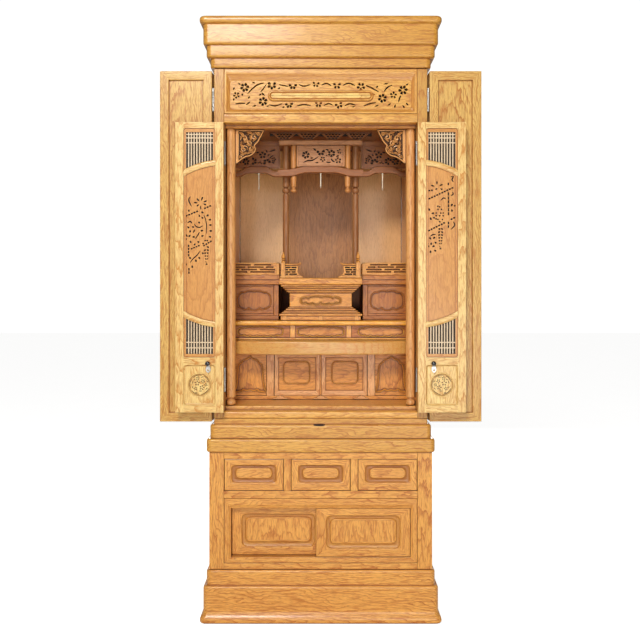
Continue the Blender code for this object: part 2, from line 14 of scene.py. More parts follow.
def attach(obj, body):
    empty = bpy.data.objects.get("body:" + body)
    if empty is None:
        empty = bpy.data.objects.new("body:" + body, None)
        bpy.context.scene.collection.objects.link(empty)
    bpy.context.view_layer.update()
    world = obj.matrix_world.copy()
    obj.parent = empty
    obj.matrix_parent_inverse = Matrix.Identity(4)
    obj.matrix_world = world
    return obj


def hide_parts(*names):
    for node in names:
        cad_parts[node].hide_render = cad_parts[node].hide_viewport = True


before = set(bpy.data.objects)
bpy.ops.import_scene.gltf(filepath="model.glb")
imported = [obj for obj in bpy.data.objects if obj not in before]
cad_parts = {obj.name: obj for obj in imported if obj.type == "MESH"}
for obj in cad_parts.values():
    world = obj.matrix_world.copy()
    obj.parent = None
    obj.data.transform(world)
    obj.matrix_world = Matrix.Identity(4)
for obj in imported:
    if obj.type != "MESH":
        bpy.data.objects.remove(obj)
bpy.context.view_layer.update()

MM = 0.001
YF = -0.215
BACK = 480.0
PI = math.pi


def pt(x, d, z):
    return (x * MM, YF + d * MM, z * MM)


# --- materials -------------------------------------------------------------

class Nodes:
    """Short names for building a material's node tree."""

    def __init__(self, name):
        self.mat = bpy.data.materials.new(name)
        self.mat.use_nodes = True
        self.tree = self.mat.node_tree
        self.shader = self.tree.nodes["Principled BSDF"]
        self.col = 0

    def node(self, kind, **values):
        n = self.tree.nodes.new(kind)
        self.col += 1
        n.location = (-1800 + 170 * (self.col % 11), 600 - 190 * (self.col // 11))
        for k, v in values.items():
            setattr(n, k, v)
        return n

    def link(self, a, b):
        if isinstance(a, (int, float)):
            b.default_value = a
        elif isinstance(a, tuple):
            b.default_value = a
        else:
            self.tree.links.new(a, b)

    def math(self, op, a, b=0.0, c=None, clamp=False):
        n = self.node("ShaderNodeMath", operation=op, use_clamp=clamp)
        self.link(a, n.inputs[0])
        self.link(b, n.inputs[1])
        if c is not None:
            self.link(c, n.inputs[2])
        return n.outputs[0]

    def vec(self, x, y, z):
        n = self.node("ShaderNodeCombineXYZ")
        for i, v in enumerate((x, y, z)):
            self.link(v, n.inputs[i])
        return n.outputs[0]

    def noise(self, vector, scale, detail=2.0, rough=0.5, distort=0.0):
        n = self.node("ShaderNodeTexNoise")
        self.link(vector, n.inputs["Vector"])
        n.inputs["Scale"].default_value = scale
        n.inputs["Detail"].default_value = detail
        n.inputs["Roughness"].default_value = rough
        n.inputs["Distortion"].default_value = distort
        return n.outputs["Fac"]

    def ramp(self, value, stops):
        n = self.node("ShaderNodeValToRGB")
        self.link(value, n.inputs[0])
        el = n.color_ramp.elements
        el[0].position, el[0].color = stops[0][0], (*stops[0][1], 1.0)
        el[1].position, el[1].color = stops[-1][0], (*stops[-1][1], 1.0)
        for p, c in stops[1:-1]:
            e = el.new(p)
            e.color = (*c, 1.0)
        return n.outputs["Color"]

    def mix(self, fac, a, b, mode="MIX"):
        n = self.node("ShaderNodeMix", data_type="RGBA", blend_type=mode)
        self.link(fac, n.inputs[0])
        for v, s in ((a, n.inputs[6]), (b, n.inputs[7])):
            if isinstance(v, tuple) and len(v) == 3:
                v = (*v, 1.0)
            self.link(v, s)
        return n.outputs[2]

    def remap(self, value, a, b, c=0.0, d=1.0):
        n = self.node("ShaderNodeMapRange")
        n.clamp = True
        self.link(value, n.inputs["Value"])
        for k, v in zip(("From Min", "From Max", "To Min", "To Max"), (a, b, c, d)):
            n.inputs[k].default_value = v
        return n.outputs["Result"]

    def bump(self, height, strength, distance):
        n = self.node("ShaderNodeBump")
        n.inputs["Strength"].default_value = strength
        n.inputs["Distance"].default_value = distance
        self.link(height, n.inputs["Height"])
        self.link(n.outputs["Normal"], self.shader.inputs["Normal"])


# The fourth colour, with the strength recess, is the painted shade laid into recesses; deep is the colour of the
# painted shade deep in crevices.
def wood(name, pale, ring, dark, recess_shade, pitch=4.6, rough=0.36, coat=0.34, contrast=1.0, recess=0.9, deep=(0.030, 0.010, 0.003)):
    """Lacquered oak: growth rings cut lengthwise, so that they run as long lines and pointed arches, short flecks and
    dark pores along the grain, slow drifts of tone, painted shade that darkens the recesses, and a painted highlight
    that makes the edges a little paler."""
    m = Nodes(name)
    at = m.node("ShaderNodeAttribute", attribute_name="grain").outputs["Vector"]
    sep = m.node("ShaderNodeSeparateXYZ")
    m.link(at, sep.inputs[0])
    u, v, w = sep.outputs

    def along(a, b, detail=2.0, rough=0.5):
        return m.noise(m.vec(m.math("MULTIPLY", u, a), m.math("MULTIPLY", v, b), m.math("MULTIPLY", w, b)), 1.0, detail, rough)
    # Slow wander of the rings, longer along the board than across it, and a quick one that frays them.
    slow = along(4.6, 13.0, 2.0, 0.55)
    quick = along(30.0, 95.0, 2.0, 0.55)
    # The board lies beside the heart of the log at a slant, which turns the ring lines into arches.
    a = m.math("ADD", v, m.math("MULTIPLY", m.math("SUBTRACT", slow, 0.5), 0.085))
    b = m.math("ADD", m.math("ADD", w, 0.028), m.math("MULTIPLY", u, 0.055))
    r = m.math("SQRT", m.math("ADD", m.math("MULTIPLY", a, a), m.math("MULTIPLY", m.math("MULTIPLY", b, b), 1.6)))
    r = m.math("ADD", r, m.math("MULTIPLY", m.math("SUBTRACT", quick, 0.5), 0.0065))
    turn = m.math("FRACT", m.math("MULTIPLY", r, 1000.0 / pitch))
    late = m.math("MULTIPLY", m.math("POWER", turn, 5.5), m.remap(turn, 0.92, 1.0, 1.0, 0.0))
    late = m.math("MULTIPLY", late, 1.75, clamp=True)
    late = m.math("MULTIPLY", late, m.remap(along(6.0, 24.0, 1.0), 0.32, 0.66, 0.40, 1.0))
    # Flecks: short strokes; pores: thin dashes, both along the grain.
    fleck = m.remap(along(24.0, 235.0, 2.0, 0.6), 0.52, 0.62, 0.0, 1.0)
    pore = m.remap(along(70.0, 1300.0, 1.0), 0.54, 0.68, 0.0, 1.0)
    fibre = along(9.0, 420.0, 3.0, 0.6)
    tone = along(1.6, 5.0)
    mid = tuple(0.5 * (p + q) for p, q in zip(pale, ring))
    ground = m.mix(m.remap(tone, 0.32, 0.68), pale, tuple(0.70 * p + 0.30 * q for p, q in zip(pale, ring)))
    ground = m.mix(m.remap(fibre, 0.35, 0.75, 0.0, 0.45), ground, mid)
    colour = m.mix(m.math("MULTIPLY", late, 1.0 * contrast, clamp=True), ground, ring)
    colour = m.mix(m.math("MULTIPLY", fleck, 0.60 * contrast), colour, ring)
    colour = m.mix(m.math("MULTIPLY", pore, 0.52 * contrast), colour, dark)
    # Painted highlight: near convex edges, found by an inside ambient occlusion, the colour turns paler.
    edge_ao = m.node("ShaderNodeAmbientOcclusion", samples=4, only_local=True, inside=True)
    edge_ao.inputs["Distance"].default_value = 0.0022
    edge_highlight = m.remap(m.math("SUBTRACT", 1.0, edge_ao.outputs["AO"], clamp=True), 0.12, 0.6, 0.0, 0.38)
    colour = m.mix(edge_highlight, colour, tuple(min(1.0, 1.25 * p + 0.02) for p in pale))
    # Painted shade: ambient occlusion darkens the colour in recesses and between parts, and darkest deep in crevices.
    hide = m.node("ShaderNodeAmbientOcclusion", samples=8, only_local=False)
    hide.inputs["Distance"].default_value = 0.0048
    near = m.math("SUBTRACT", 1.0, hide.outputs["AO"], clamp=True)
    wide = m.node("ShaderNodeAmbientOcclusion", samples=6, only_local=True)
    wide.inputs["Distance"].default_value = 0.015
    far = m.math("SUBTRACT", 1.0, wide.outputs["AO"], clamp=True)
    colour = m.mix(m.math("MULTIPLY", m.remap(near, 0.07, 0.40), recess), colour, recess_shade)
    colour = m.mix(m.math("MULTIPLY", m.remap(far, 0.22, 0.72), 0.55 * recess), colour, recess_shade)
    colour = m.mix(m.remap(near, 0.44, 0.72, 0.0, 0.97), colour, deep)
    m.link(colour, m.shader.inputs["Base Color"])
    gloss = m.math("ADD", m.math("MULTIPLY", pore, 0.12), m.math("ADD", rough, m.math("MULTIPLY", m.math("SUBTRACT", fibre, 0.5), 0.10)))
    m.link(gloss, m.shader.inputs["Roughness"])
    m.shader.inputs["Coat Weight"].default_value = coat
    m.shader.inputs["Coat Roughness"].default_value = 0.18
    m.shader.inputs["Specular IOR Level"].default_value = 0.45
    m.bump(m.math("SUBTRACT", m.math("MULTIPLY", late, 0.35), m.math("MULTIPLY", pore, 0.8)), 0.35, 0.00035)
    return m.mat


def metal(name, colour, dark, rough=0.3, brushed=400.0, metallic=1.0):
    m = Nodes(name)
    at = m.node("ShaderNodeTexCoord").outputs["Object"]
    sep = m.node("ShaderNodeSeparateXYZ")
    m.link(at, sep.inputs[0])
    x, y, z = sep.outputs
    streak = m.noise(m.vec(m.math("MULTIPLY", x, brushed), m.math("MULTIPLY", y, brushed), m.math("MULTIPLY", z, brushed * 0.12)), 1.0, 3.0, 0.6)
    spot = m.noise(at, 260.0, 3.0, 0.6)
    # Painted shade: ambient occlusion darkens the metal in its crevices.
    hide = m.node("ShaderNodeAmbientOcclusion", samples=4, only_local=True)
    hide.inputs["Distance"].default_value = 0.004
    base = m.mix(m.remap(streak, 0.35, 0.7, 0.0, 0.35), colour, dark)
    base = m.mix(m.remap(spot, 0.58, 0.75, 0.0, 0.4), base, dark)
    base = m.mix(m.math("SUBTRACT", 1.0, hide.outputs["AO"], clamp=True), base, dark)
    m.link(base, m.shader.inputs["Base Color"])
    m.link(m.math("ADD", rough - 0.06, m.math("MULTIPLY", streak, 0.14)), m.shader.inputs["Roughness"])
    m.shader.inputs["Metallic"].default_value = metallic
    m.bump(streak, 0.15, 0.0001)
    return m.mat


def shadow_wood(name, colour):
    """Unlit inside of a slot: dark wood with a trace of grain."""
    m = Nodes(name)
    at = m.node("ShaderNodeTexCoord").outputs["Object"]
    grain = m.noise(at, 300.0, 3.0, 0.6)
    m.link(m.mix(m.remap(grain, 0.3, 0.7), colour, tuple(2.0 * c for c in colour)), m.shader.inputs["Base Color"])
    m.shader.inputs["Roughness"].default_value = 0.8
    return m.mat


CASE = wood("honey_oak", (0.82, 0.455, 0.086), (0.46, 0.145, 0.014), (0.28, 0.088, 0.014), (0.36, 0.10, 0.013))
POST = wood("honey_oak_post", (0.67, 0.378, 0.072), (0.42, 0.132, 0.013), (0.26, 0.080, 0.012), (0.34, 0.095, 0.012))
BASE = wood("honey_oak_base", (0.92, 0.465, 0.094), (0.47, 0.132, 0.013), (0.27, 0.078, 0.012), (0.33, 0.082, 0.011))
# A darker copy of the oak, painted shade for the hollow mouldings of the drawers.
HOLLOW = wood("honey_oak_hollow", (0.52, 0.215, 0.040), (0.33, 0.090, 0.010), (0.18, 0.050, 0.008), (0.20, 0.048, 0.007), contrast=0.7)
# A darker copy of the oak, painted shade for the sloping sides of the sliding doors' recesses and the transom frame's
# inner slope.
SLOPE = wood("honey_oak_slope", (0.70, 0.345, 0.068), (0.40, 0.115, 0.011), (0.24, 0.068, 0.010), (0.28, 0.070, 0.010), contrast=0.8)
TRANSOM = wood("transom_oak", (0.90, 0.66, 0.190), (0.56, 0.225, 0.028), (0.34, 0.12, 0.020), (0.40, 0.125, 0.018), contrast=0.85)
COLUMN = wood("column_oak", (0.88, 0.480, 0.170), (0.52, 0.170, 0.028), (0.34, 0.11, 0.018), (0.32, 0.085, 0.012), contrast=0.9)
# A brighter copy of the desk oak for the desk's top face, painted light for a surface lit from above.
DESKTOP = wood("desk_top_oak", (0.98, 0.66, 0.135), (0.66, 0.26, 0.030), (0.38, 0.13, 0.020), (0.40, 0.12, 0.016))
SILL = wood("sill_oak", (0.90, 0.505, 0.105), (0.52, 0.165, 0.016), (0.30, 0.095, 0.016), (0.38, 0.11, 0.014))
DOOR = wood("pale_oak", (0.93, 0.685, 0.26), (0.60, 0.245, 0.036), (0.36, 0.135, 0.026), (0.44, 0.150, 0.022), contrast=1.15)
OUTER = wood("pale_oak_outer", (0.80, 0.535, 0.148), (0.48, 0.175, 0.021), (0.30, 0.100, 0.016), (0.36, 0.115, 0.015), contrast=1.15)
PANEL = wood("panel_oak", (0.72, 0.345, 0.080), (0.49, 0.178, 0.030), (0.31, 0.10, 0.018), (0.36, 0.11, 0.018), pitch=4.4, contrast=0.8)
# Darker, greyer oak for the inside of the hall: partly the veneer's own tone, partly painted shade.
HALL = wood("hall_oak", (0.61, 0.268, 0.066), (0.345, 0.120, 0.026), (0.18, 0.070, 0.026), (0.15, 0.050, 0.016), pitch=4.4, contrast=0.9, coat=0.08)
INNER = wood("altar_oak", (0.88, 0.405, 0.066), (0.48, 0.155, 0.024), (0.26, 0.075, 0.012), (0.22, 0.058, 0.009), pitch=4.4, coat=0.08)
# Lit and shaded copies of the altar oak: the tier is brighter as painted light for standing nearer the front, the side
# cabinets darker as painted shade.
TIER = wood("tier_oak", (0.99, 0.54, 0.062), (0.74, 0.270, 0.024), (0.32, 0.095, 0.014), (0.26, 0.068, 0.010), pitch=4.4)
CABINET = wood("cabinet_oak", (0.54, 0.195, 0.024), (0.30, 0.084, 0.011), (0.20, 0.055, 0.009), (0.16, 0.040, 0.007), pitch=4.4, coat=0.08)
CARVED = wood("carved_oak", (0.84, 0.42, 0.13), (0.56, 0.22, 0.050), (0.30, 0.10, 0.022), (0.17, 0.044, 0.009), pitch=4.0, contrast=0.55, recess=1.0)
# Near-black oak, painted shadow for places in deep shade: behind the altar, the brackets' pierced ground, behind the
# altar railings and beside the altar.
SHADOW_OAK = wood("painted_shadow_oak", (0.10, 0.036, 0.010), (0.06, 0.020, 0.005), (0.025, 0.009, 0.003), (0.015, 0.005, 0.002), pitch=4.5, rough=0.7, coat=0.0, contrast=0.6)
# Mid-brown oak for the board behind the side railings' slots, painted shade for the view through them.
BACKING = wood("rail_backing", (0.80, 0.380, 0.110), (0.55, 0.210, 0.050), (0.24, 0.075, 0.018), (0.20, 0.060, 0.014), pitch=4.5, rough=0.6, coat=0.0, contrast=0.6)
# Darker copies of the oak for the canopy, its tie and the rear posts: painted shade for the top of the hall, which lies
# in the lintel's shadow.
CANOPY = wood("canopy_oak", (0.37, 0.120, 0.015), (0.21, 0.055, 0.009), (0.15, 0.045, 0.012), (0.11, 0.030, 0.007), pitch=4.2, contrast=0.85, recess=1.0, coat=0.08)
TIE = wood("canopy_tie_oak", (0.62, 0.286, 0.104), (0.31, 0.105, 0.025), (0.20, 0.062, 0.014), (0.15, 0.042, 0.010), pitch=4.2, contrast=0.8, coat=0.08)
REAR = wood("rear_post_oak", (0.38, 0.165, 0.060), (0.22, 0.072, 0.018), (0.16, 0.050, 0.012), (0.10, 0.026, 0.006), pitch=4.2, contrast=0.8, coat=0.08)
# A paler copy of the oak for the hall's side walls and the back's side parts, painted light that brightens walls the
# lamps reach little.
WALL = wood("hall_side_oak", (0.99, 0.600, 0.240), (0.80, 0.42, 0.135), (0.46, 0.19, 0.050), (0.34, 0.12, 0.026), pitch=4.4, contrast=0.65)
CUSP = wood("cabinet_panel_oak", (0.62, 0.235, 0.034), (0.37, 0.105, 0.012), (0.20, 0.055, 0.009), (0.16, 0.040, 0.007), pitch=4.4, coat=0.08)
CROWN = wood("honey_oak_crown", (0.75, 0.405, 0.062), (0.43, 0.135, 0.010), (0.27, 0.084, 0.012), (0.33, 0.092, 0.012))
DESK = wood("desk_board_oak", (0.71, 0.420, 0.112), (0.62, 0.230, 0.036), (0.34, 0.11, 0.018), (0.34, 0.095, 0.013), contrast=0.85)
HANG = wood("hanging_post_oak", (0.72, 0.330, 0.100), (0.44, 0.150, 0.030), (0.24, 0.072, 0.014), (0.18, 0.048, 0.009), pitch=4.2, contrast=0.8)
SLAT = wood("slat_oak", (0.74, 0.58, 0.38), (0.50, 0.34, 0.19), (0.30, 0.19, 0.10), (0.34, 0.20, 0.10), pitch=4.0, contrast=0.6)
PLAIN = wood("back_oak", (0.70, 0.42, 0.17), (0.46, 0.22, 0.07), (0.26, 0.11, 0.035), (0.30, 0.12, 0.035), rough=0.5, coat=0.05)
STEEL = metal("satin_steel", (0.62, 0.61, 0.58), (0.30, 0.29, 0.27), 0.32)
BRASS = metal("pale_brass", (0.93, 0.87, 0.70), (0.55, 0.45, 0.27), 0.30, metallic=0.55)
BLACK = metal("black_knob", (0.012, 0.012, 0.014), (0.03, 0.028, 0.026), 0.16, metallic=0.0)
BLACK.node_tree.nodes["Principled BSDF"].inputs["Coat Weight"].default_value = 0.6
DARK = shadow_wood("slot_shadow", (0.018, 0.010, 0.006))


# --- mesh tools ------------------------------------------------------------

MADE = []


class Piece:
    """Gathers boards into one mesh. Points are (x, d, z) in millimetres. Each face has its grain axis, its board's seed and its shading."""

    def __init__(self, name, mats, body, node=(), slot="case_wood"):
        self.name, self.body, self.slot = name, body, slot
        self.mats = mats if isinstance(mats, (list, tuple)) else [mats]
        self.nodes = [node] if isinstance(node, str) else list(node)
        self.verts, self.faces, self.tags = [], [], []
        self.apart = set()
        self.boards = {}           # a box's points, with the box's least size
        self.sawn = False

    def put(self, verts, faces, axis="x", seed=1, smooth=False, mat=0, middle=None):
        """axis may be a function of a face's middle point, which gives (axis, seed). middle moves the grain's centre line to a board's own."""
        base = len(self.verts)
        self.verts.extend(verts)
        for f in faces:
            ids = [base + i for i in f]
            if callable(axis):
                n = len(ids)
                c = tuple(sum(self.verts[i][k] for i in ids) / n for k in range(3))
                ax, sd = axis(c)
            else:
                ax, sd = axis, seed
            self.faces.append(ids)
            self.tags.append((ax, sd, smooth, mat, middle))
        return base

    def build(self, bevel=0.0, segments=2, angle=32.0, weld=True, doubles=1e-6, sharp=38.0):
        """bevel eases the boards' edges. Edges that turn by more than sharp degrees keep a crisp line."""
        mesh = bpy.data.meshes.new(self.name)
        mesh.from_pydata([pt(*v) for v in self.verts], [], self.faces)
        seeds = {}
        layer = mesh.attributes.new("grain", "FLOAT_VECTOR", "CORNER")
        values = []
        for poly, (ax, sd, smooth, mat, middle) in zip(mesh.polygons, self.tags):
            poly.use_smooth = smooth
            poly.material_index = mat
            key = (ax, sd)
            if key not in seeds:
                rng = random.Random(sd * 7919 + 13)
                seeds[key] = (rng.uniform(-3.0, 3.0), rng.uniform(-0.02, 0.02), rng.uniform(-0.010, 0.02))
            ou, ov, ow = seeds[key]
            mx, md, mz = middle or (0.0, 0.0, 0.0)
            for i in poly.vertices:
                x, d, z = self.verts[i]
                x, d, z = x - mx, d - md, z - mz
                if ax == "x":
                    u, v, w = x, z, d
                elif ax == "z":
                    u, v, w = z, x, d
                elif ax == "y":
                    u, v, w = d, z, x
                elif ax == "t":
                    u, v, w = x, d, z
                else:
                    u, v, w = d, x, z
                values.extend((u * MM + ou, v * MM + ov, w * MM + ow))
        layer.data.foreach_set("vector", values)
        for m in self.mats:
            mesh.materials.append(m)
        bm = bmesh.new()
        bm.from_mesh(mesh)
        board = bm.verts.layers.float.new("board")
        weight = bm.edges.layers.float.new("bevel_weight_edge")
        bm.verts.ensure_lookup_table()
        for i, least in self.boards.items():
            bm.verts[i][board] = least
        if weld:
            bmesh.ops.remove_doubles(bm, verts=[v for v in bm.verts if v.index not in self.apart], dist=doubles)
            bmesh.ops.dissolve_degenerate(bm, edges=bm.edges, dist=1e-7)
        bmesh.ops.recalc_face_normals(bm, faces=bm.faces)
        for e in bm.edges:
            if len(e.link_faces) != 2:
                continue
            turn = e.calc_face_angle(0.0)
            least = min(v[board] for v in e.verts)
            if bevel and turn > math.radians(angle) and (least > 0 or not self.sawn):
                e[weight] = min(1.0, 0.42 * least / bevel) if least > 0 else 1.0
            elif turn > math.radians(sharp):
                e.smooth = False
        bm.verts.layers.float.remove(board)
        bm.to_mesh(mesh)
        bm.free()
        mesh.validate()
        ob = bpy.data.objects.new(self.name, mesh)
        bpy.context.scene.collection.objects.link(ob)
        if bevel:
            mod = ob.modifiers.new("edges", "BEVEL")
            mod.width = bevel * MM
            mod.segments = segments
            mod.limit_method = "WEIGHT"
            mod.use_clamp_overlap = True
            mod.miter_outer = "MITER_ARC"
            for p in mesh.polygons:
                p.use_smooth = True
        if any(p.use_smooth for p in mesh.polygons):
            mod = ob.modifiers.new("shading", "WEIGHTED_NORMAL")
            mod.keep_sharp = True
        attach(ob, self.body)
        if self.nodes:
            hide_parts(*self.nodes)
        MADE.append(ob)
        return ob

    # Each board is a closed solid of its own inside the piece.

    def box(self, x0, x1, d0, d1, z0, z1, axis="x", seed=1, mat=0):
        v = [(x, d, z) for z in (z0, z1) for d in (d0, d1) for x in (x0, x1)]
        f = [(0, 2, 3, 1), (4, 5, 7, 6), (0, 1, 5, 4), (2, 6, 7, 3), (0, 4, 6, 2), (1, 3, 7, 5)]
        mid = ((x0 + x1) / 2, d0, (z0 + z1) / 2)
        base = self.put(v, f, axis, seed, False, mat, mid)
        self.apart.update(range(base, len(self.verts)))
        least = min(abs(x1 - x0), abs(d1 - d0), abs(z1 - z0))
        self.boards.update((i, least) for i in range(base, len(self.verts)))

    def prism(self, outline, d0, d1, axis="x", seed=1, mat=0, chamfer=0.0, smooth=False, flat="xz"):
        """A flat outline with thickness. chamfer eases the front edge. flat names the outline's plane."""
        n = len(outline)
        turn = -1 if area(outline) < 0 else 1

        def at(p, q):
            a, b = p
            return {"xz": (a, q, b), "xd": (a, b, q), "dz": (q, a, b)}[flat]
        rings = []
        if chamfer:
            rings.append((inset(outline, chamfer * turn), d0))
            rings.append((outline, d0 + chamfer if d1 > d0 else d0 - chamfer))
        else:
            rings.append((outline, d0))
        rings.append((outline, d1))
        v = [at(p, q) for ring, q in rings for p in ring]
        f = [tuple(range(n)), tuple(range(len(v) - n, len(v)))]
        mx = sum(p[0] for p in outline) / n
        mz = sum(p[1] for p in outline) / n
        mid = at((mx, mz), d0)
        tri = geometry.tessellate_polygon([[Vector((a, b, 0)) for a, b in outline]])
        self.put(v, [tuple(t) for t in tri] + [tuple(len(v) - n + i for i in t) for t in tri], axis, seed, False, mat, mid)
        base = len(self.verts) - len(v)
        for r in range(len(rings) - 1):
            for i in range(n):
                j = (i + 1) % n
                self.faces.append([base + r * n + i, base + r * n + j, base + (r + 1) * n + j, base + (r + 1) * n + i])
                self.tags.append((axis, seed, smooth, mat, mid))
        self.apart.update(range(base, len(self.verts)))

    def loft(self, loops, axis="x", seed=1, smooth=True, mat=0, caps=(True, True), middle=None, closed=True):
        """Skin through closed loops of equal count. The caps close its first and last loop."""
        n = len(loops[0])
        v = [p for loop in loops for p in loop]
        f = []
        for r in range(len(loops) - 1):
            for i in range(n if closed else n - 1):
                j = (i + 1) % n
                f.append((r * n + i, r * n + j, (r + 1) * n + j, (r + 1) * n + i))
        self.put(v, f, axis, seed, smooth, mat, middle)
        base = len(self.verts) - len(v)
        for want, start in ((caps[0], 0), (caps[1], (len(loops) - 1) * n)):
            if want:
                ids = list(range(base + start, base + start + n))
                c = tuple(sum(self.verts[i][k] for i in ids) / n for k in range(3))
                ax, sd = axis(c) if callable(axis) else (axis, seed)
                self.faces.append(ids)
                self.tags.append((ax, sd, False, mat, middle))

    def lathe(self, profile, x, d, segs=40, axis="z", seed=1, mat=0, tilt=False, z0=0.0):
        """A turned piece: (radius, height) from foot to top. A tilted one points to the front from (x, d, z0)."""
        loops = []
        for r, h in profile:
            loop = []
            for k in range(segs):
                t = 2 * PI * k / segs
                a, b = max(r, 0.01) * math.cos(t), max(r, 0.01) * math.sin(t)
                loop.append((x + a, d - h, z0 + b) if tilt else (x + a, d + b, z0 + h))
            loops.append(loop)
        self.loft(loops, axis, seed, True, mat, (True, True), (x, d, z0))

    def tube(self, path, radius, seed=1, axis="x", mat=0, sides=8, flat=1.0):
        """A round rod along a path. radius may be a function of the share of its length. flat squashes it in depth."""
        n = len(path)
        loops = []
        up = Vector((0.0, 1.0, 0.0))
        for i, p in enumerate(path):
            a = Vector(path[max(0, i - 1)])
            b = Vector(path[min(n - 1, i + 1)])
            t = (b - a).normalized()
            side = t.cross(up)
            if side.length < 1e-4:
                side = Vector((1.0, 0.0, 0.0))
            side.normalize()
            out = side.cross(t).normalized()
            r = radius(i / (n - 1)) if callable(radius) else radius
            loops.append([tuple(Vector(p) + side * (r * math.cos(2 * PI * k / sides)) + out * (r * flat * math.sin(2 * PI * k / sides))) for k in range(sides)])
        self.loft(loops, axis, seed, True, mat, (True, True), path[0])


def area(loop):
    return 0.5 * sum(a[0] * b[1] - b[0] * a[1] for a, b in zip(loop, loop[1:] + loop[:1]))


def inset(loop, amount):
    """A loop moved inwards along its points' normals, for a loop that runs counter-clockwise; a negative amount moves it outwards."""
    n = len(loop)
    out = []
    for i in range(n):
        ax, az = loop[i - 1]
        bx, bz = loop[i]
        cx, cz = loop[(i + 1) % n]
        e, f = Vector((bx - ax, bz - az)), Vector((cx - bx, cz - bz))
        if e.length < 1e-9 or f.length < 1e-9:
            out.append((bx, bz))
            continue
        e.normalize(), f.normalize()
        ne, nf = Vector((-e.y, e.x)), Vector((-f.y, f.x))
        s = ne + nf
        if s.length < 1e-6:
            s = ne
        s.normalize()
        k = amount / max(0.4, s.dot(ne))
        out.append((bx + s.x * k, bz + s.y * k))
    return out


def rrect(x0, x1, z0, z1, r, n=6):
    """A rounded rectangle, counter-clockwise from the upper right corner."""
    points = []
    for cx, cz, start in ((x1 - r, z1 - r, 0.0), (x0 + r, z1 - r, 0.5), (x0 + r, z0 + r, 1.0), (x1 - r, z0 + r, 1.5)):
        for k in range(n + 1):
            t = (start + 0.5 * k / n) * PI
            points.append((cx + r * math.cos(t), cz + r * math.sin(t)))
    return points


def mirrored(loop):
    return [(-x, z) for x, z in reversed(loop)]


def flip(loop, s):
    return loop if s < 0 else mirrored(loop)


def soften(profile, times=2, keep_ends=True):
    """Rounds the corners of a profile by cutting them again and again."""
    for _ in range(times):
        new = [profile[0]]
        for a, b in zip(profile, profile[1:]):
            new.append((0.75 * a[0] + 0.25 * b[0], 0.75 * a[1] + 0.25 * b[1]))
            new.append((0.25 * a[0] + 0.75 * b[0], 0.25 * a[1] + 0.75 * b[1]))
        new.append(profile[-1])
        profile = new
    return profile


def smooth_loop(loop, times=2):
    """Rounds a closed loop's corners."""
    for _ in range(times):
        new = []
        for a, b in zip(loop, loop[1:] + loop[:1]):
            new.append((0.75 * a[0] + 0.25 * b[0], 0.75 * a[1] + 0.25 * b[1]))
            new.append((0.25 * a[0] + 0.75 * b[0], 0.25 * a[1] + 0.75 * b[1]))
        loop = new
    return loop


def spline(points, per=8):
    """A smooth open curve through points, by Catmull and Rom's rule."""
    out = []
    n = len(points)
    for i in range(n - 1):
        p0, p1, p2, p3 = points[max(0, i - 1)], points[i], points[i + 1], points[min(n - 1, i + 2)]
        for k in range(per):
            t = k / per
            out.append(tuple(0.5 * (2 * b + (c - a) * t + (2 * a - 5 * b + 4 * c - d) * t * t + (3 * b - a - 3 * c + d) * t ** 3)
                             for a, b, c, d in zip(p0, p1, p2, p3)))
    out.append(tuple(points[-1]))
    return out


def inside(p, loop):
    x, z = p
    hit = False
    for (ax, az), (bx, bz) in zip(loop, loop[1:] + loop[:1]):
        if (az > z) != (bz > z) and x < (bx - ax) * (z - az) / (bz - az) + ax:
            hit = not hit
    return hit


def gap_to(p, loop):
    best = 1e9
    for (ax, az), (bx, bz) in zip(loop, loop[1:] + loop[:1]):
        dx, dz = bx - ax, bz - az
        l2 = dx * dx + dz * dz
        t = 0.0 if l2 == 0 else max(0.0, min(1.0, ((p[0] - ax) * dx + (p[1] - az) * dz) / l2))
        best = min(best, math.hypot(p[0] - ax - t * dx, p[1] - az - t * dz))
    return best


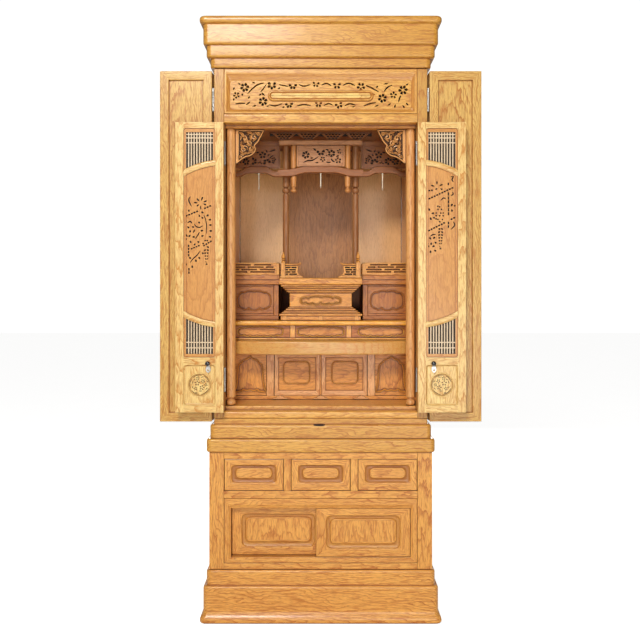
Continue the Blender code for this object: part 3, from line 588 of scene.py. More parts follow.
class Fret:
    """Holes sawn through a board, each kept clear of the others and of the board's edge."""

    def __init__(self, region, margin=1.2, clear=0.7):
        self.region, self.margin, self.clear = region, margin, clear
        self.holes, self.boxes = [], []
        self.fat = 1.0             # widens petals and strokes

    def cut(self, loop):
        if area(loop) < 0:
            loop = loop[::-1]
        if abs(area(loop)) < 0.4:
            return False
        for p in loop:
            if not inside(p, self.region) or gap_to(p, self.region) < self.margin:
                return False
        x0, x1 = min(p[0] for p in loop), max(p[0] for p in loop)
        z0, z1 = min(p[1] for p in loop), max(p[1] for p in loop)
        c = self.clear
        for other, (a0, a1, b0, b1) in zip(self.holes, self.boxes):
            if x1 + c < a0 or x0 - c > a1 or z1 + c < b0 or z0 - c > b1:
                continue
            if any(inside(p, other) or gap_to(p, other) < c for p in loop) or any(inside(p, loop) or gap_to(p, loop) < c for p in other):
                return False
        self.holes.append(loop)
        self.boxes.append((x0, x1, z0, z1))
        return True

    def petal(self, x, z, angle, length, width, n=9):
        """A drop with its point at (x, z)."""
        loop = []
        for k in range(n):
            t = 2 * PI * k / n
            a = length * 0.5 * (1 - math.cos(t))
            b = self.fat * width * 0.5 * math.sin(t) * (0.45 + 0.75 * a / length)
            loop.append((x + a * math.cos(angle) - b * math.sin(angle), z + a * math.sin(angle) + b * math.cos(angle)))
        return self.cut(loop)

    def blossom(self, x, z, r, n=5, turn=0.3, heart=0.30, fat=0.56):
        for k in range(n):
            a = turn + 2 * PI * k / n
            self.petal(x + heart * r * math.cos(a), z + heart * r * math.sin(a), a, r * (1 - heart), r * fat)

    def stroke(self, points, width, taper=True, per=5):
        """A narrow curved cut along points, pointed at its ends."""
        line = spline(points, per) if len(points) > 2 else [tuple(points[0]), tuple((a + b) / 2 for a, b in zip(*points)), tuple(points[1])]
        n = len(line)
        left, right = [], []
        for i, p in enumerate(line):
            a, b = line[max(0, i - 1)], line[min(n - 1, i + 1)]
            t = Vector((b[0] - a[0], b[1] - a[1])).normalized()
            share = i / (n - 1)
            w = 0.5 * self.fat * width * (math.sqrt(max(0.03, 4 * share * (1 - share))) if taper else 1.0)
            left.append((p[0] - t.y * w, p[1] + t.x * w))
            right.append((p[0] + t.y * w, p[1] - t.x * w))
        return self.cut(left + right[::-1])

    def dashes(self, a, b, width, dash, gap):
        """A row of short cuts from a to b."""
        length = math.dist(a, b)
        t = Vector((b[0] - a[0], b[1] - a[1])) / length
        at = 0.0
        while at + dash <= length + 0.01:
            p = (a[0] + t.x * at, a[1] + t.y * at)
            q = (a[0] + t.x * (at + dash), a[1] + t.y * (at + dash))
            self.stroke([p, q], width, False)
            at += dash + gap


def pierced(piece, outer, holes, d0, d1, axis="x", seed=1, mat=0, ease=0.35, smooth_walls=True, field=None):
    """A board with sawn holes. Its front edges are eased. field says how far a front point stands out, for a board with a crowned front."""
    piece.sawn = True
    if area(outer) < 0:
        outer = outer[::-1]
    loops = [outer] + [h[::-1] if area(h) > 0 else h for h in holes]
    front = [inset(outer, ease)] + [inset(h, ease) for h in loops[1:]]
    flat_pts = [p for loop in front for p in loop]
    owner = [k for k, loop in enumerate(front) for _ in loop]
    edges, at = [], 0
    for loop in front:
        n = len(loop)
        edges += [(at + i, at + (i + 1) % n) for i in range(n)]
        at += n
    verts2, _, tris, orig, _, _ = geometry.delaunay_2d_cdt([Vector(p) for p in flat_pts], edges, [], 1, 1e-6)
    kept = []
    src = [o[0] if o else None for o in orig]
    for tri in tris:
        ks = {owner[src[i]] if src[i] is not None else -1 for i in tri}
        if len(ks) == 1:
            k = ks.pop()
            c = tuple(sum(verts2[i][j] for i in tri) / 3 for j in (0, 1))
            if k > 0 and inside(c, front[k]):
                continue
            if k == 0 and not inside(c, front[0]):
                continue
        kept.append(tuple(tri))
    mx = sum(p[0] for p in outer) / len(outer)
    mz = sum(p[1] for p in outer) / len(outer)
    mid = (mx, d0, mz)
    rise = field or (lambda p: 0.0)
    piece.put([(p[0], d0 + rise((p[0], p[1])), p[1]) for p in verts2], kept, axis, seed, False, mat, mid)
    # The back uses the same points, moved to the holes' own size.
    wall = [p for loop in loops for p in loop]
    place_back = []
    for i, p in enumerate(verts2):
        q = wall[src[i]] if src[i] is not None else (p[0], p[1])
        place_back.append((q[0], d1, q[1]))
    piece.put(place_back, [t[::-1] for t in kept], axis, seed, False, mat, mid)
    for a, b in zip(front, loops):
        n = len(a)
        v = [(x, d0 + rise((x, z)), z) for x, z in a] + [(x, d0 + ease + rise((x, z)), z) for x, z in b] + [(x, d1, z) for x, z in b]
        f = []
        for i in range(n):
            j = (i + 1) % n
            f.append((i, j, n + j, n + i))
        piece.put(v, f, axis, seed, False, mat, mid)
        base = len(piece.verts) - len(v)
        for i in range(n):
            j = (i + 1) % n
            piece.faces.append([base + n + i, base + n + j, base + 2 * n + j, base + 2 * n + i])
            piece.tags.append((axis, seed, smooth_walls, mat, mid))


def mitre(x0, x1, z0, z1, seed):
    """Says which member of a mitred frame a point belongs to: rails run across and stiles up."""
    def pick(c):
        x, _, z = c
        left, right, low, high = x - x0, x1 - x, z - z0, z1 - z
        least = min(left, right, low, high)
        if least == left:
            return "z", seed + 1
        if least == right:
            return "z", seed + 2
        return ("x", seed + 3) if least == low else ("x", seed + 4)
    return pick


# --- stepped blocks: plinth, waist, base moulding, crown ----------------------

CASE_HALF = 289.0


def plan(over, r, back=BACK, n=9, side=10, front=14):
    """The plan of a stepped block, with rounded front corners: from the left back, along the left side, the front and the right side."""
    w, f = CASE_HALF + over, -over
    points = [(-w, back + (f + r - back) * k / side) for k in range(side)]
    for k in range(n + 1):
        t = PI + PI / 2 * k / n
        points.append((-w + r + r * math.cos(t), f + r + r * math.sin(t)))
    points += [(-w + r + (2 * w - 2 * r) * k / front, f) for k in range(1, front)]
    for k in range(n + 1):
        t = 1.5 * PI + PI / 2 * k / n
        points.append((w - r + r * math.cos(t), f + r + r * math.sin(t)))
    points += [(w, f + r + (back - f - r) * k / side) for k in range(1, side + 1)]
    return points


def block_grain(seed):
    def pick(c):
        x, d, z = c
        return ("x", seed) if (CASE_HALF + 8 - abs(x)) > d * 1.0 else ("y", seed + (1 if x < 0 else 2))
    return pick


def moulded(name, node, levels, mat, seed, bevel_from=None, r=14.0, top_in=None):
    """A moulded block: levels are (z, overhang) or (z, overhang, corner radius) from the bottom up, walls are open below and above where hidden."""
    P = Piece(name, [mat, PLAIN], "case", node)
    loops = []
    for level in levels:
        z, over = level[0], level[1]
        rr = level[2] if len(level) > 2 else r
        loops.append([(x, d, z) for x, d in plan(over, rr)])
    P.loft(loops, block_grain(seed), seed, True, 0, (False, False), None)
    # Underside and top as flat boards; the back is plain.
    n = len(loops[0])
    P.put(loops[0], [tuple(range(n))], "x", seed + 5, False, 1)
    P.put(loops[-1], [tuple(range(n))], "x", seed + 6, False, 0)
    return P.build(0.0)


def hollow_block(name, node, levels, mat, seed, cavity):
    """A moulded block that is open underneath, with a hollow box inside."""
    x1, d0, d1, zc, through = cavity
    P = Piece(name, [mat, PLAIN], "case", node)
    loops = [[(x, d, lv[0]) for x, d in plan(lv[1], lv[2] if len(lv) > 2 else 14.0)] for lv in levels]
    P.loft(loops, block_grain(seed), seed, True, 0, (False, False), None)
    low, top = loops[0], loops[-1]
    z0, z1 = levels[0][0], levels[-1][0]
    zc = z1 if through else zc
    inner = [(-x1, d1), (-x1, d0), (x1, d0), (x1, d1)]

    def ring(outer, z, seed2, mat2):
        pts = [Vector((x, d)) for x, d, _ in outer] + [Vector(p) for p in inner]
        n = len(outer)
        edges = [(i, (i + 1) % n) for i in range(n)] + [(n + i, n + (i + 1) % 4) for i in range(4)]
        v2, _, tris, _, _, _ = geometry.delaunay_2d_cdt(pts, edges, [], 1, 1e-6)
        keep = [tuple(t) for t in tris if not inside([sum(v2[i][k] for i in t) / 3 for k in (0, 1)], inner)]
        P.put([(v[0], v[1], z) for v in v2], keep, block_grain(seed2), seed2, False, mat2)
    ring(low, z0, seed + 5, 1)
    if through:
        ring(top, z1, seed + 6, 0)
    else:
        n = len(top)
        P.put(top, [tuple(range(n))], "x", seed + 6, False, 0)
        P.put([(x, d, zc) for x, d in inner], [(0, 1, 2, 3)], "x", seed + 7, False, 1)
    P.put([(x, d, z0) for x, d in inner] + [(x, d, zc) for x, d in inner], [(0, 1, 5, 4), (1, 2, 6, 5), (2, 3, 7, 6), (3, 0, 4, 7)], "x", seed + 8, False, 1)
    return P.build(0.0)


def rounded(levels, corners):
    """Levels with a soft round put in at the named corners: (index, radius)."""
    out = []
    for i, (z, o) in enumerate(levels):
        r = corners.get(i)
        if not r or i in (0, len(levels) - 1):
            out.append((z, o))
            continue
        a, b = Vector(levels[i - 1]) - Vector((z, o)), Vector(levels[i + 1]) - Vector((z, o))
        ra, rb = min(r, a.length * 0.48), min(r, b.length * 0.48)
        p, q, c = Vector((z, o)) + a.normalized() * ra, Vector((z, o)) + b.normalized() * rb, Vector((z, o))
        for k in range(6):
            t = k / 5
            s = p * (1 - t) ** 2 + c * 2 * t * (1 - t) + q * t * t
            out.append((s.x, s.y))
    return out


plinth_levels = ([(0.0, 31.0), (1.0, 33.2), (3.0, 34.7), (6.0, 35.5), (9.5, 35.6), (13.0, 35.0), (15.5, 34.1), (18.0, 32.8), (21.0, 30.9), (24.0, 29.2),
                  (28.0, 27.7), (31.0, 27.15), (34.0, 27.0), (64.0, 27.0), (91.0, 27.0), (93.6, 26.8), (95.6, 26.2), (97.0, 25.2), (98.0, 23.6), (98.4, 21.8),
                  (98.5, 19.3), (100.0, 19.1), (116.0, 19.0), (132.0, 19.0), (134.5, 18.8), (136.6, 18.1), (138.0, 17.0), (138.8, 15.6), (139.0, 14.5)])
hollow_block("plinth_moulding", "plinth", plinth_levels, BASE, 101, (282.0, 6.0, 460.0, 139.0, True))

waist_levels = [(455.3, 15.0), (455.8, 16.6), (457.2, 18.1), (459.0, 19.0), (461.0, 19.3), (473.0, 19.3), (485.6, 19.3), (487.8, 19.0), (489.6, 18.1), (491.1, 16.6), (491.7, 15.0)]
moulded("waist_moulding", "waist_board", waist_levels, CASE, 121)

base_levels = [(492.0, 9.8), (492.5, 10.3), (508.0, 10.3), (522.0, 10.3), (524.6, 10.1), (526.8, 9.3), (528.4, 7.8), (529.2, 5.5), (529.4, 3.0), (529.6, 0.02, 3.0),
               (537.0, 0.0, 3.0), (544.0, 0.0, 3.0), (544.5, -0.5, 3.0)]
moulded("base_moulding", "upper_base", base_levels, CASE, 131)

crown_levels = [(1494.0, 6.5), (1494.6, 8.0), (1496.0, 9.2), (1498.5, 9.6), (1508.0, 9.6), (1518.2, 9.6), (1518.5, 10.5), (1519.0, 13.6), (1519.8, 16.4), (1521.4, 18.4),
                (1523.2, 19.1), (1525.5, 19.3), (1538.0, 19.3), (1551.2, 19.3), (1551.5, 20.0), (1552.0, 22.6), (1553.0, 25.0), (1554.6, 26.5), (1556.4, 27.1),
                (1559.0, 27.2), (1582.0, 27.2), (1604.6, 27.2), (1605.3, 27.4), (1606.6, 28.3), (1607.6, 30.2), (1608.4, 32.2), (1609.8, 34.0), (1611.8, 35.3),
                (1614.2, 35.9), (1617.0, 36.0), (1620.0, 35.9), (1622.6, 35.3), (1624.8, 34.2), (1626.3, 32.8), (1627.0, 31.0)]
hollow_block("crown_moulding", "crown", crown_levels, CROWN, 141, (264.0, 12.0, 462.0, 1602.0, False))


# --- lower case ------------------------------------------------------------

P = Piece("lower_carcass", [BASE, PLAIN], "case", ("lower_side_left", "lower_side_right", "lower_back", "lower_bottom", "lower_shelf"))
for s in (-1, 1):
    x0, x1 = sorted((s * 282.7, s * 300.7))
    P.box(x0, x1, 10.6, 480.0, 139.3, 455.0, "z", 150 + s)
P.box(-282.4, 282.4, 472.0, 480.0, 139.3, 455.0, "z", 153, 1)
P.box(-282.4, 282.4, 10.6, 471.7, 139.3, 156.0, "t", 154, 1)
P.box(-282.4, 282.4, 10.6, 471.7, 341.0, 351.0, "t", 155, 1)
P.build(0.8)

# Face frame: two stiles, two end stiles between the drawers, and the rails above, between and below.
P = Piece("face_frame", [BASE], "case", "lower_face_frame")
FD0, FD1 = -11.7, 10.3
P.box(-300.7, -261.1, FD0, FD1, 139.3, 455.0, "z", 161)
P.box(261.1, 300.7, FD0, FD1, 139.3, 455.0, "z", 162)
P.box(-261.1, 261.1, FD0, FD1, 437.0, 455.0, "x", 163)
P.box(-261.1, 261.1, FD0, FD1, 331.0, 351.0, "x", 164)
P.box(-261.1, 261.1, FD0, FD1, 139.3, 156.0, "x", 165)
P.box(-100.0, -80.5, FD0, FD1, 351.0, 437.0, "z", 166)
P.box(80.5, 100.0, FD0, FD1, 351.0, 437.0, "z", 167)
P.build(1.0)

# Track frame of the sliding doors.
P = Piece("track_frame", [BASE], "case", "sliding_frame")
# Sill and head differ in height, so the frame is swept round its opening with each side's own width.


def uneven(piece, outer, opening, rows, seed, back, mat=0, n=3):
    """A frame whose members differ in width. rows are (share from the outer to the inner edge, depth, corner radius)."""
    ox0, ox1, oz0, oz1 = outer
    ix0, ix1, iz0, iz1 = opening
    loops = []
    for t, d, r in rows:
        r = max(r, 0.02)
        loops.append([(x, d, z) for x, z in rrect(ox0 + (ix0 - ox0) * t, ox1 + (ix1 - ox1) * t, oz0 + (iz0 - oz0) * t, oz1 + (iz1 - oz1) * t, r, n)])

    def pick(c):
        x, _, z = c
        a = {"l": (x - ox0) / (ix0 - ox0), "r": (ox1 - x) / (ox1 - ix1), "b": (z - oz0) / (iz0 - oz0), "t": (oz1 - z) / (oz1 - iz1)}
        k = min(a, key=a.get)
        return ("z", seed + (1 if k == "l" else 2)) if k in "lr" else ("x", seed + (3 if k == "b" else 4))
    piece.loft(loops, pick, seed, False, mat, (False, False), None)
    if back is not None:
        first = [(x, back, z) for x, _, z in loops[0]]
        last = [(x, back, z) for x, _, z in loops[-1]]
        piece.loft([last, first], pick, seed, False, mat, (False, False), None)


uneven(P, (-260.7, 260.7, 156.3, 330.7), (-243.0, 243.0, 170.0, 303.0),
       [(0.0, 38.0, 0.0), (0.0, -9.0, 0.0), (0.03, -9.7, 0.0), (0.62, -9.7, 0.5), (0.70, -9.3, 1.0), (0.78, -7.8, 1.5), (0.88, -6.6, 2.0), (0.97, -6.2, 2.0), (1.0, -5.5, 2.0)],
       171, None)
# Behind its moulding the sill and the head carry two grooves, in which the doors' tongues run.
rows = []
for d, deep in ((-5.5, 0), (-4.6, 0), (0.8, 0), (0.8, 1), (7.8, 1), (7.8, 0), (19.8, 0), (19.8, 1), (26.8, 1), (26.8, 0), (38.0, 0)):
    rows.append([(x, d, z) for x, z in (rrect(-243.06, 243.06, 163.5, 311.5, 1.0, 3) if deep else rrect(-243.0, 243.0, 170.0, 303.0, 2.0 if d < -5.0 else 1.0, 3))])
rows.append([(x, 38.0, z) for x, z in rrect(-260.7, 260.7, 156.3, 330.7, 0.02, 3)])
P.loft(rows, lambda c: ("x", 175) if c[2] < 171.0 or c[2] > 302.0 else ("z", 172), 175, False, 0, (False, False), None)
P.build(0.0)


def slide_leaf(name, node, body, x0, x1, front, seed):
    """A sliding door: mitred frame, moulded recess and a raised field with upright grain."""
    P = Piece(name, [BASE, PLAIN, SLOPE], body, node)
    zb, zt, f = 170.7, 302.3, front
    cx = (x0 + x1) / 2
    outer = (x0, x1, zb, zt)
    recess = (cx - 100.5, cx + 100.5, 193.0, 282.5)
    uneven(P, outer, recess, [(0.0, f + 16.0, 0.0), (0.0, f + 0.7, 0.0), (0.03, f, 0.0), (0.93, f, 13.0), (0.985, f + 0.3, 14.0), (1.0, f + 1.1, 14.5)], seed, None, n=6)
    loops = []
    for t, d, r in [(0.0, 1.1, 14.5), (0.8, 2.9, 14.4), (2.4, 4.6, 14.0), (6.8, 5.2, 13.0), (9.6, 4.9, 12.4), (11.4, 3.0, 12.2), (12.0, 1.2, 12.2), (12.6, 0.3, 12.2), (13.6, 0.0, 12.0), (15.0, 0.0, 11.6), (15.5, 0.8, 11.4), (16.2, 0.9, 11.2)]:
        loops.append([(x, f + d, z) for x, z in rrect(recess[0] + t, recess[1] - t, 193.0 + t * 1.14, 282.5 - t * 0.82, r, 6)])
    # The recess's outer rows take the darker oak as painted shade.
    P.loft(loops[:7], mitre(recess[0], recess[1], 193.0, 282.5, seed + 10), seed, True, 2, (False, False), None)
    P.loft(loops[6:], mitre(recess[0], recess[1], 193.0, 282.5, seed + 10), seed, True, 0, (False, False), None)
    P.put(loops[-1], [tuple(range(len(loops[-1])))], "z", seed + 20, False, 0, (cx, 0.0, 240.0))
    # Back: a plain panel in the frame.
    ids = rrect(x0, x1, zb, zt, 0.02, 3)
    P.put([(x, f + 16.0, z) for x, z in ids], [tuple(range(len(ids)))], "z", seed + 21, False, 1)
    P.box(x0, x1, f + 5.1, f + 10.9, 164.4, zb + 0.1, "x", seed + 22)
    P.box(x0, x1, f + 5.1, f + 10.9, zt - 0.1, 309.3, "x", seed + 23)
    return P.build(0.0)


slide_leaf("sliding_door_left_leaf", "sliding_door_left", "sliding_left", -242.6, 12.0, 15.3, 181)
slide_leaf("sliding_door_right_leaf", "sliding_door_right", "sliding_right", -12.0, 242.6, -3.7, 211)


def drawer_piece(side, x0, x1, seed):
    """A drawer: front with a mitred border, hollow moulding and a pill-shaped raised field, on a plain dovetailed box."""
    P = Piece("drawer_%s_piece" % side, [BASE, PLAIN, HOLLOW], "drawer_" + side, "drawer_" + side)
    cx = (x0 + x1) / 2
    f = -9.7
    xa, xb, za, zb = x0 + 1.1, x1 - 1.1, 351.8, 435.9
    recess = (cx - 60.5, cx + 60.5, 373.0, 419.5)
    uneven(P, (xa, xb, za, zb), recess, [(0.0, 7.9, 0.0), (0.0, f + 0.9, 0.0), (0.015, f + 0.25, 0.3), (0.05, f, 0.6), (0.86, f, 7.0), (0.93, f + 0.35, 8.0), (1.0, f + 1.3, 8.6)], seed, 7.9, n=5)
    loops = []
    for t, d, r in [(0.0, 1.3, 8.6), (1.0, 2.8, 8.8), (3.0, 4.3, 9.2), (6.3, 5.0, 10.0), (9.4, 4.3, 11.0), (11.4, 2.6, 12.0), (12.3, 1.1, 12.4), (12.9, 0.35, 12.4), (13.9, 0.05, 12.0), (15.5, 0.0, 11.4)]:
        zz = 1.0 if t < 9 else 0.9
        loops.append([(x, f + d, z) for x, z in rrect(recess[0] + t, recess[1] - t, 373.0 + t * 0.95, 419.5 - t * 0.6, min(r, (46.5 - 1.55 * t) / 2 - 0.1), 5)])
    # The outer rows of the hollow moulding take the darker oak as painted shade.
    P.loft(loops[:7], mitre(recess[0], recess[1], 373.0, 419.5, seed + 10), seed, True, 2, (False, False), None)
    P.loft(loops[6:], mitre(recess[0], recess[1], 373.0, 419.5, seed + 10), seed, True, 0, (False, False), None)
    P.put(loops[-1], [tuple(range(len(loops[-1])))], "x", seed + 20, False, 0, (cx, 0.0, 398.0))
    P.box(xa + 0.1, xb - 0.1, 7.8, 8.0, za + 0.1, zb - 0.1, "x", seed + 24, 1)
    P.box(cx - 76.0, cx - 67.0, 8.0, 330.0, 351.4, 426.0, "y", seed + 25, 1)
    P.box(cx + 67.0, cx + 76.0, 8.0, 330.0, 351.4, 426.0, "y", seed + 26, 1)
    P.box(cx - 67.0, cx + 67.0, 321.0, 330.0, 351.4, 426.0, "x", seed + 27, 1)
    P.box(cx - 67.0, cx + 67.0, 8.0, 321.0, 351.6, 358.0, "t", seed + 28, 1)
    return P.build(0.0)


for side, span, seed in (("left", (-261.0, -100.0), 301), ("centre", (-80.5, 80.5), 341), ("right", (100.0, 261.0), 381)):
    drawer_piece(side, *span, seed)


# --- upper case ------------------------------------------------------------

for side, s in (("left", -1), ("right", 1)):
    P = Piece("post_" + side, [POST], "case", "upper_post_" + side)
    x0, x1 = sorted((s * 262.0, s * 289.0))
    P.box(x0, x1, 0.0, 30.0, 544.8, 1493.7, "z", 401 + s)
    P.build(1.6, 3)
    P = Piece("side_" + side, [CASE, WALL], "case", "upper_side_" + side)
    x0, x1 = sorted((s * 268.0, s * 289.0))
    P.box(x0, x1, 30.3, 480.0, 544.8, 1493.7, "z", 405 + s, 0)
    x0, x1 = sorted((s * 262.0, s * 267.9))
    P.box(x0, x1, 30.3, 480.0, 544.8, 1493.7, "z", 409 + s, 1)
    P.build(0.7)

P = Piece("hall_back", [HALL, PLAIN, WALL, SHADOW_OAK], "case", "upper_back")
for k, (x0, x1) in enumerate(((-261.7, -101.0), (-100.9, 100.9), (101.0, 261.7))):
    # The part that stands behind the altar, and never sees light, takes the near-black oak as painted shadow.
    P.box(x0, x1, 472.0, 475.9, 544.8, 906.0, "z", 421 + k, 3)
    P.box(x0, x1, 472.0, 475.9, 906.1, 1493.7, "z", 421 + k, 0 if k == 1 else 2)
for k in range(4):
    x0 = -261.7 + 130.85 * k
    P.box(x0, x0 + 130.8, 476.0, 480.0, 544.8, 1493.7, "z", 425 + k, 1)
P.build(0.4, 1)

P = Piece("floor_and_sill", [SILL], "case", "hall_floor")
P.prism([(1.6, 544.8), (36.0, 544.8), (36.0, 564.5), (6.0, 564.5), (3.2, 563.9), (1.4, 562.5), (0.4, 560.4), (0.0, 557.5), (0.0, 548.5), (0.5, 546.4)], -261.7, 261.7, "x", 431, 0, 0.0, True, "dz")
P.prism([(36.2, 544.8), (471.7, 544.8), (471.7, 574.5), (40.0, 574.5), (38.4, 574.2), (37.0, 573.3), (36.2, 571.5)], -261.7, 261.7, "t", 432, 0, 0.0, True, "dz")
floor_ob = P.build(0.0)

P = Piece("lintel_board", [CASE, INNER], "case", "lintel")
P.prism([(3.4, 1346.0), (33.8, 1346.0), (33.8, 1371.0), (3.0, 1371.0), (1.2, 1370.3), (0.2, 1368.4), (0.0, 1366.0), (0.0, 1351.0), (0.6, 1348.4), (1.6, 1346.8)],
        -261.7, 261.7, "x", 435, 0, 0.0, True, "dz")
P.prism([(36.4, 1337.0), (62.0, 1337.0), (64.0, 1339.0), (64.0, 1371.0), (34.0, 1371.0), (34.0, 1341.0), (34.4, 1338.4)], -261.7, 261.7, "x", 436, 1, 0.0, True, "dz")
lintel_ob = P.build(0.0)

P = Piece("ceiling_board", [CANOPY], "case", "hall_ceiling")
for k in range(4):
    d0 = 64.3 + 101.85 * k
    P.box(-261.7, 261.7, d0, d0 + 101.75, 1345.3, 1357.0, "x", 441 + k)
P.build(0.6, 1)


# --- transom ---------------------------------------------------------------

def px(x, y, depth):
    """A point of the picture plane at a depth, in millimetres, for a level camera 2.4 m in front of the posts."""
    s = (2400.0 + depth) / 885.5
    return (x - 320.7) * s, 893.0 + (290.0 - y) * s


P = Piece("transom_frame", [CASE, SLOPE], "case", "transom")
uneven(P, (-261.7, 261.7, 1371.3, 1493.7), (-246.0, 246.0, 1383.5, 1462.0),
       [(0.0, 22.0, 0.0), (0.0, 1.3, 0.0), (0.05, 0.6, 0.0), (0.34, 0.5, 0.4), (0.44, 1.0, 1.0)], 451, None, n=6)
# The inner slope of the frame takes the darker oak as painted shade.
uneven(P, (-261.7, 261.7, 1371.3, 1493.7), (-246.0, 246.0, 1383.5, 1462.0), [(0.44, 1.0, 1.0), (0.58, 2.6, 2.0), (0.74, 4.3, 4.0), (0.9, 5.6, 7.0), (1.0, 7.0, 9.0), (1.0, 9.0, 9.0)], 451, None, 1, 6)
uneven(P, (-261.7, 261.7, 1371.3, 1493.7), (-246.0, 246.0, 1383.5, 1462.0), [(1.0, 9.0, 9.0), (1.0, 22.0, 9.0), (0.0, 22.0, 0.0)], 451, None, 0, 6)
P.build(0.0)

P = Piece("transom_panel", [CASE, DARK, TRANSOM], "case")
field = rrect(-246.6, 246.6, 1382.9, 1462.6, 9.0, 6)
pill = rrect(-143.0, 143.0, 1406.0, 1435.0, 14.4, 8)
F = Fret(field, 2.2, 0.55)
F.cut(inset(pill, 1.2))
for x, y, r, n, turn in ((244.7, 87.4, 9.6, 6, 0.2), (271.8, 85.0, 9.6, 6, 0.5), (292.8, 85.2, 9.0, 6, 0.0), (337.0, 85.0, 8.6, 5, 0.3), (361.0, 86.6, 9.0, 5, 0.9),
                         (382.4, 98.2, 9.8, 6, 0.3), (403.0, 90.0, 10.0, 6, 0.1), (263.0, 101.4, 9.6, 6, 0.4), (289.0, 104.0, 8.6, 6, 0.1),
                         (318.5, 103.6, 8.0, 5, 0.3), (338.8, 104.6, 8.6, 5, 0.7), (393.4, 95.0, 7.6, 5, 0.2), (236.4, 95.2, 7.2, 5, 0.8), (316.0, 83.8, 7.4, 5, 0.2)):
    F.blossom(*px(x, y, 7.0), r * 1.3, n, turn, 0.24, 0.70)
for pts, w in (([(247.5, 94), (252, 89), (258, 84.5), (264, 83)], 2.3), ([(235, 104), (240, 103.4), (245.5, 103.2)], 2.2), ([(243.5, 106.2), (245.2, 101), (251, 98.3), (257.3, 99.6)], 2.3),
               ([(246, 104.8), (250.5, 101.8)], 3.0), ([(269, 104.6), (275, 105.8), (282.5, 103.6)], 2.2), ([(279, 84.6), (284, 85.6), (288.6, 86.4)], 2.0),
               ([(238, 83.0), (240.6, 84.8)], 2.6), ([(252, 82.6), (255.5, 82.9)], 2.4), ([(261.5, 92.5), (264.8, 95.8)], 3.0), ([(266.5, 84.0), (262.0, 90.5), (260.4, 91.6)], 1.8),
               ([(252.4, 106.4), (256.4, 105.2)], 2.8), ([(266.5, 106.6), (269.5, 105.6)], 2.2), ([(296.5, 106.2), (303, 104.6), (311, 105.6)], 2.2), ([(323.5, 105.6), (328.5, 103.6), (333.0, 105.2)], 2.2),
               ([(344.5, 105.8), (350, 103.8), (356.0, 105.2)], 2.4), ([(352, 107.0), (355.0, 106.4)], 2.2), ([(363.5, 106.0), (370, 103.6), (376.3, 102.6)], 2.2), ([(298.6, 84.2), (304.0, 86.2), (310.5, 84.4)], 2.2),
               ([(321.5, 85.0), (326.5, 83.4), (331.4, 85.8)], 2.2), ([(342.8, 85.4), (348.6, 83.2), (355.0, 85.6)], 2.4), ([(365.6, 85.2), (371.0, 87.6), (379.0, 92.0)], 2.3),
               ([(384.0, 91.8), (387.4, 87.4), (392.4, 85.0)], 2.3), ([(398.4, 102.4), (399.8, 97.6), (401.0, 95.6)], 2.2), ([(405.5, 85.6), (408.6, 83.4)], 2.2), ([(374.5, 106.4), (379.0, 105.0)], 2.6),
               ([(387.5, 105.6), (391.0, 103.2)], 2.6), ([(383.5, 84.2), (388.5, 83.0)], 2.4), ([(356.5, 93.8), (352.5, 90.5)], 0.1)):
    F.stroke([px(x, y, 7.0) for x, y in pts], w * 1.75)
for x, y, a, l in ((395.6, 104.4, -1.9, 8.0), (399.4, 106.0, -1.4, 7.0), (402.6, 105.0, -1.0, 8.0), (405.6, 102.8, -0.7, 8.0), (407.4, 99.6, -0.4, 8.0), (408.6, 96.0, -0.1, 7.0),
                   (391.6, 101.6, -2.4, 7.0), (256.0, 88.4, 2.3, 6.5), (258.8, 95.6, 0.6, 7.0), (248.0, 98.6, 0.9, 6.5), (243.2, 93.4, -2.2, 6.0), (277.6, 88.8, 0.4, 6.5), (266.0, 89.2, 1.0, 6.0),
                   (284.6, 106.4, -2.6, 6.0), (372.6, 93.4, -0.6, 6.5), (376.0, 88.0, 0.8, 6.5), (411.0, 88.0, 0.9, 6.5), (233.8, 101.0, 1.6, 6.0), (233.6, 90.0, 1.4, 6.5)):
    X, Z = px(x, y, 7.0)
    F.petal(X, Z, a, l * 1.2, 5.2)
pierced(P, field, F.holes[1:], 7.0, 20.0, "x", 458, 0, 0.25)
# The pill: a moulded ring, a hollow line and a flat field.
rows = []
for t, d in ((-4.2, 6.95), (-3.4, 7.9), (-2.2, 8.3), (-0.8, 7.8), (0.0, 6.3), (0.5, 3.2), (1.2, 1.2), (2.4, 0.4), (3.8, 0.5), (4.8, 1.7), (5.4, 3.2), (6.2, 3.6), (7.2, 2.9), (8.0, 2.5)):
    rows.append([(x, d, z) for x, z in inset(pill, t)])
P.loft(rows, "x", 459, True, 0, (False, False), (0.0, 0.0, 1420.0))
P.put(rows[-1], [tuple(range(len(rows[-1])))], "x", 459, False, 2, (0.0, 0.0, 1420.0))
# A dark board behind the sawn field, painted shadow seen through the holes.
P.box(-246.0, 246.0, 20.4, 21.9, 1384.0, 1461.5, "x", 460, 1)
P.build(0.0, weld=True)


# --- carving tools ---------------------------------------------------------

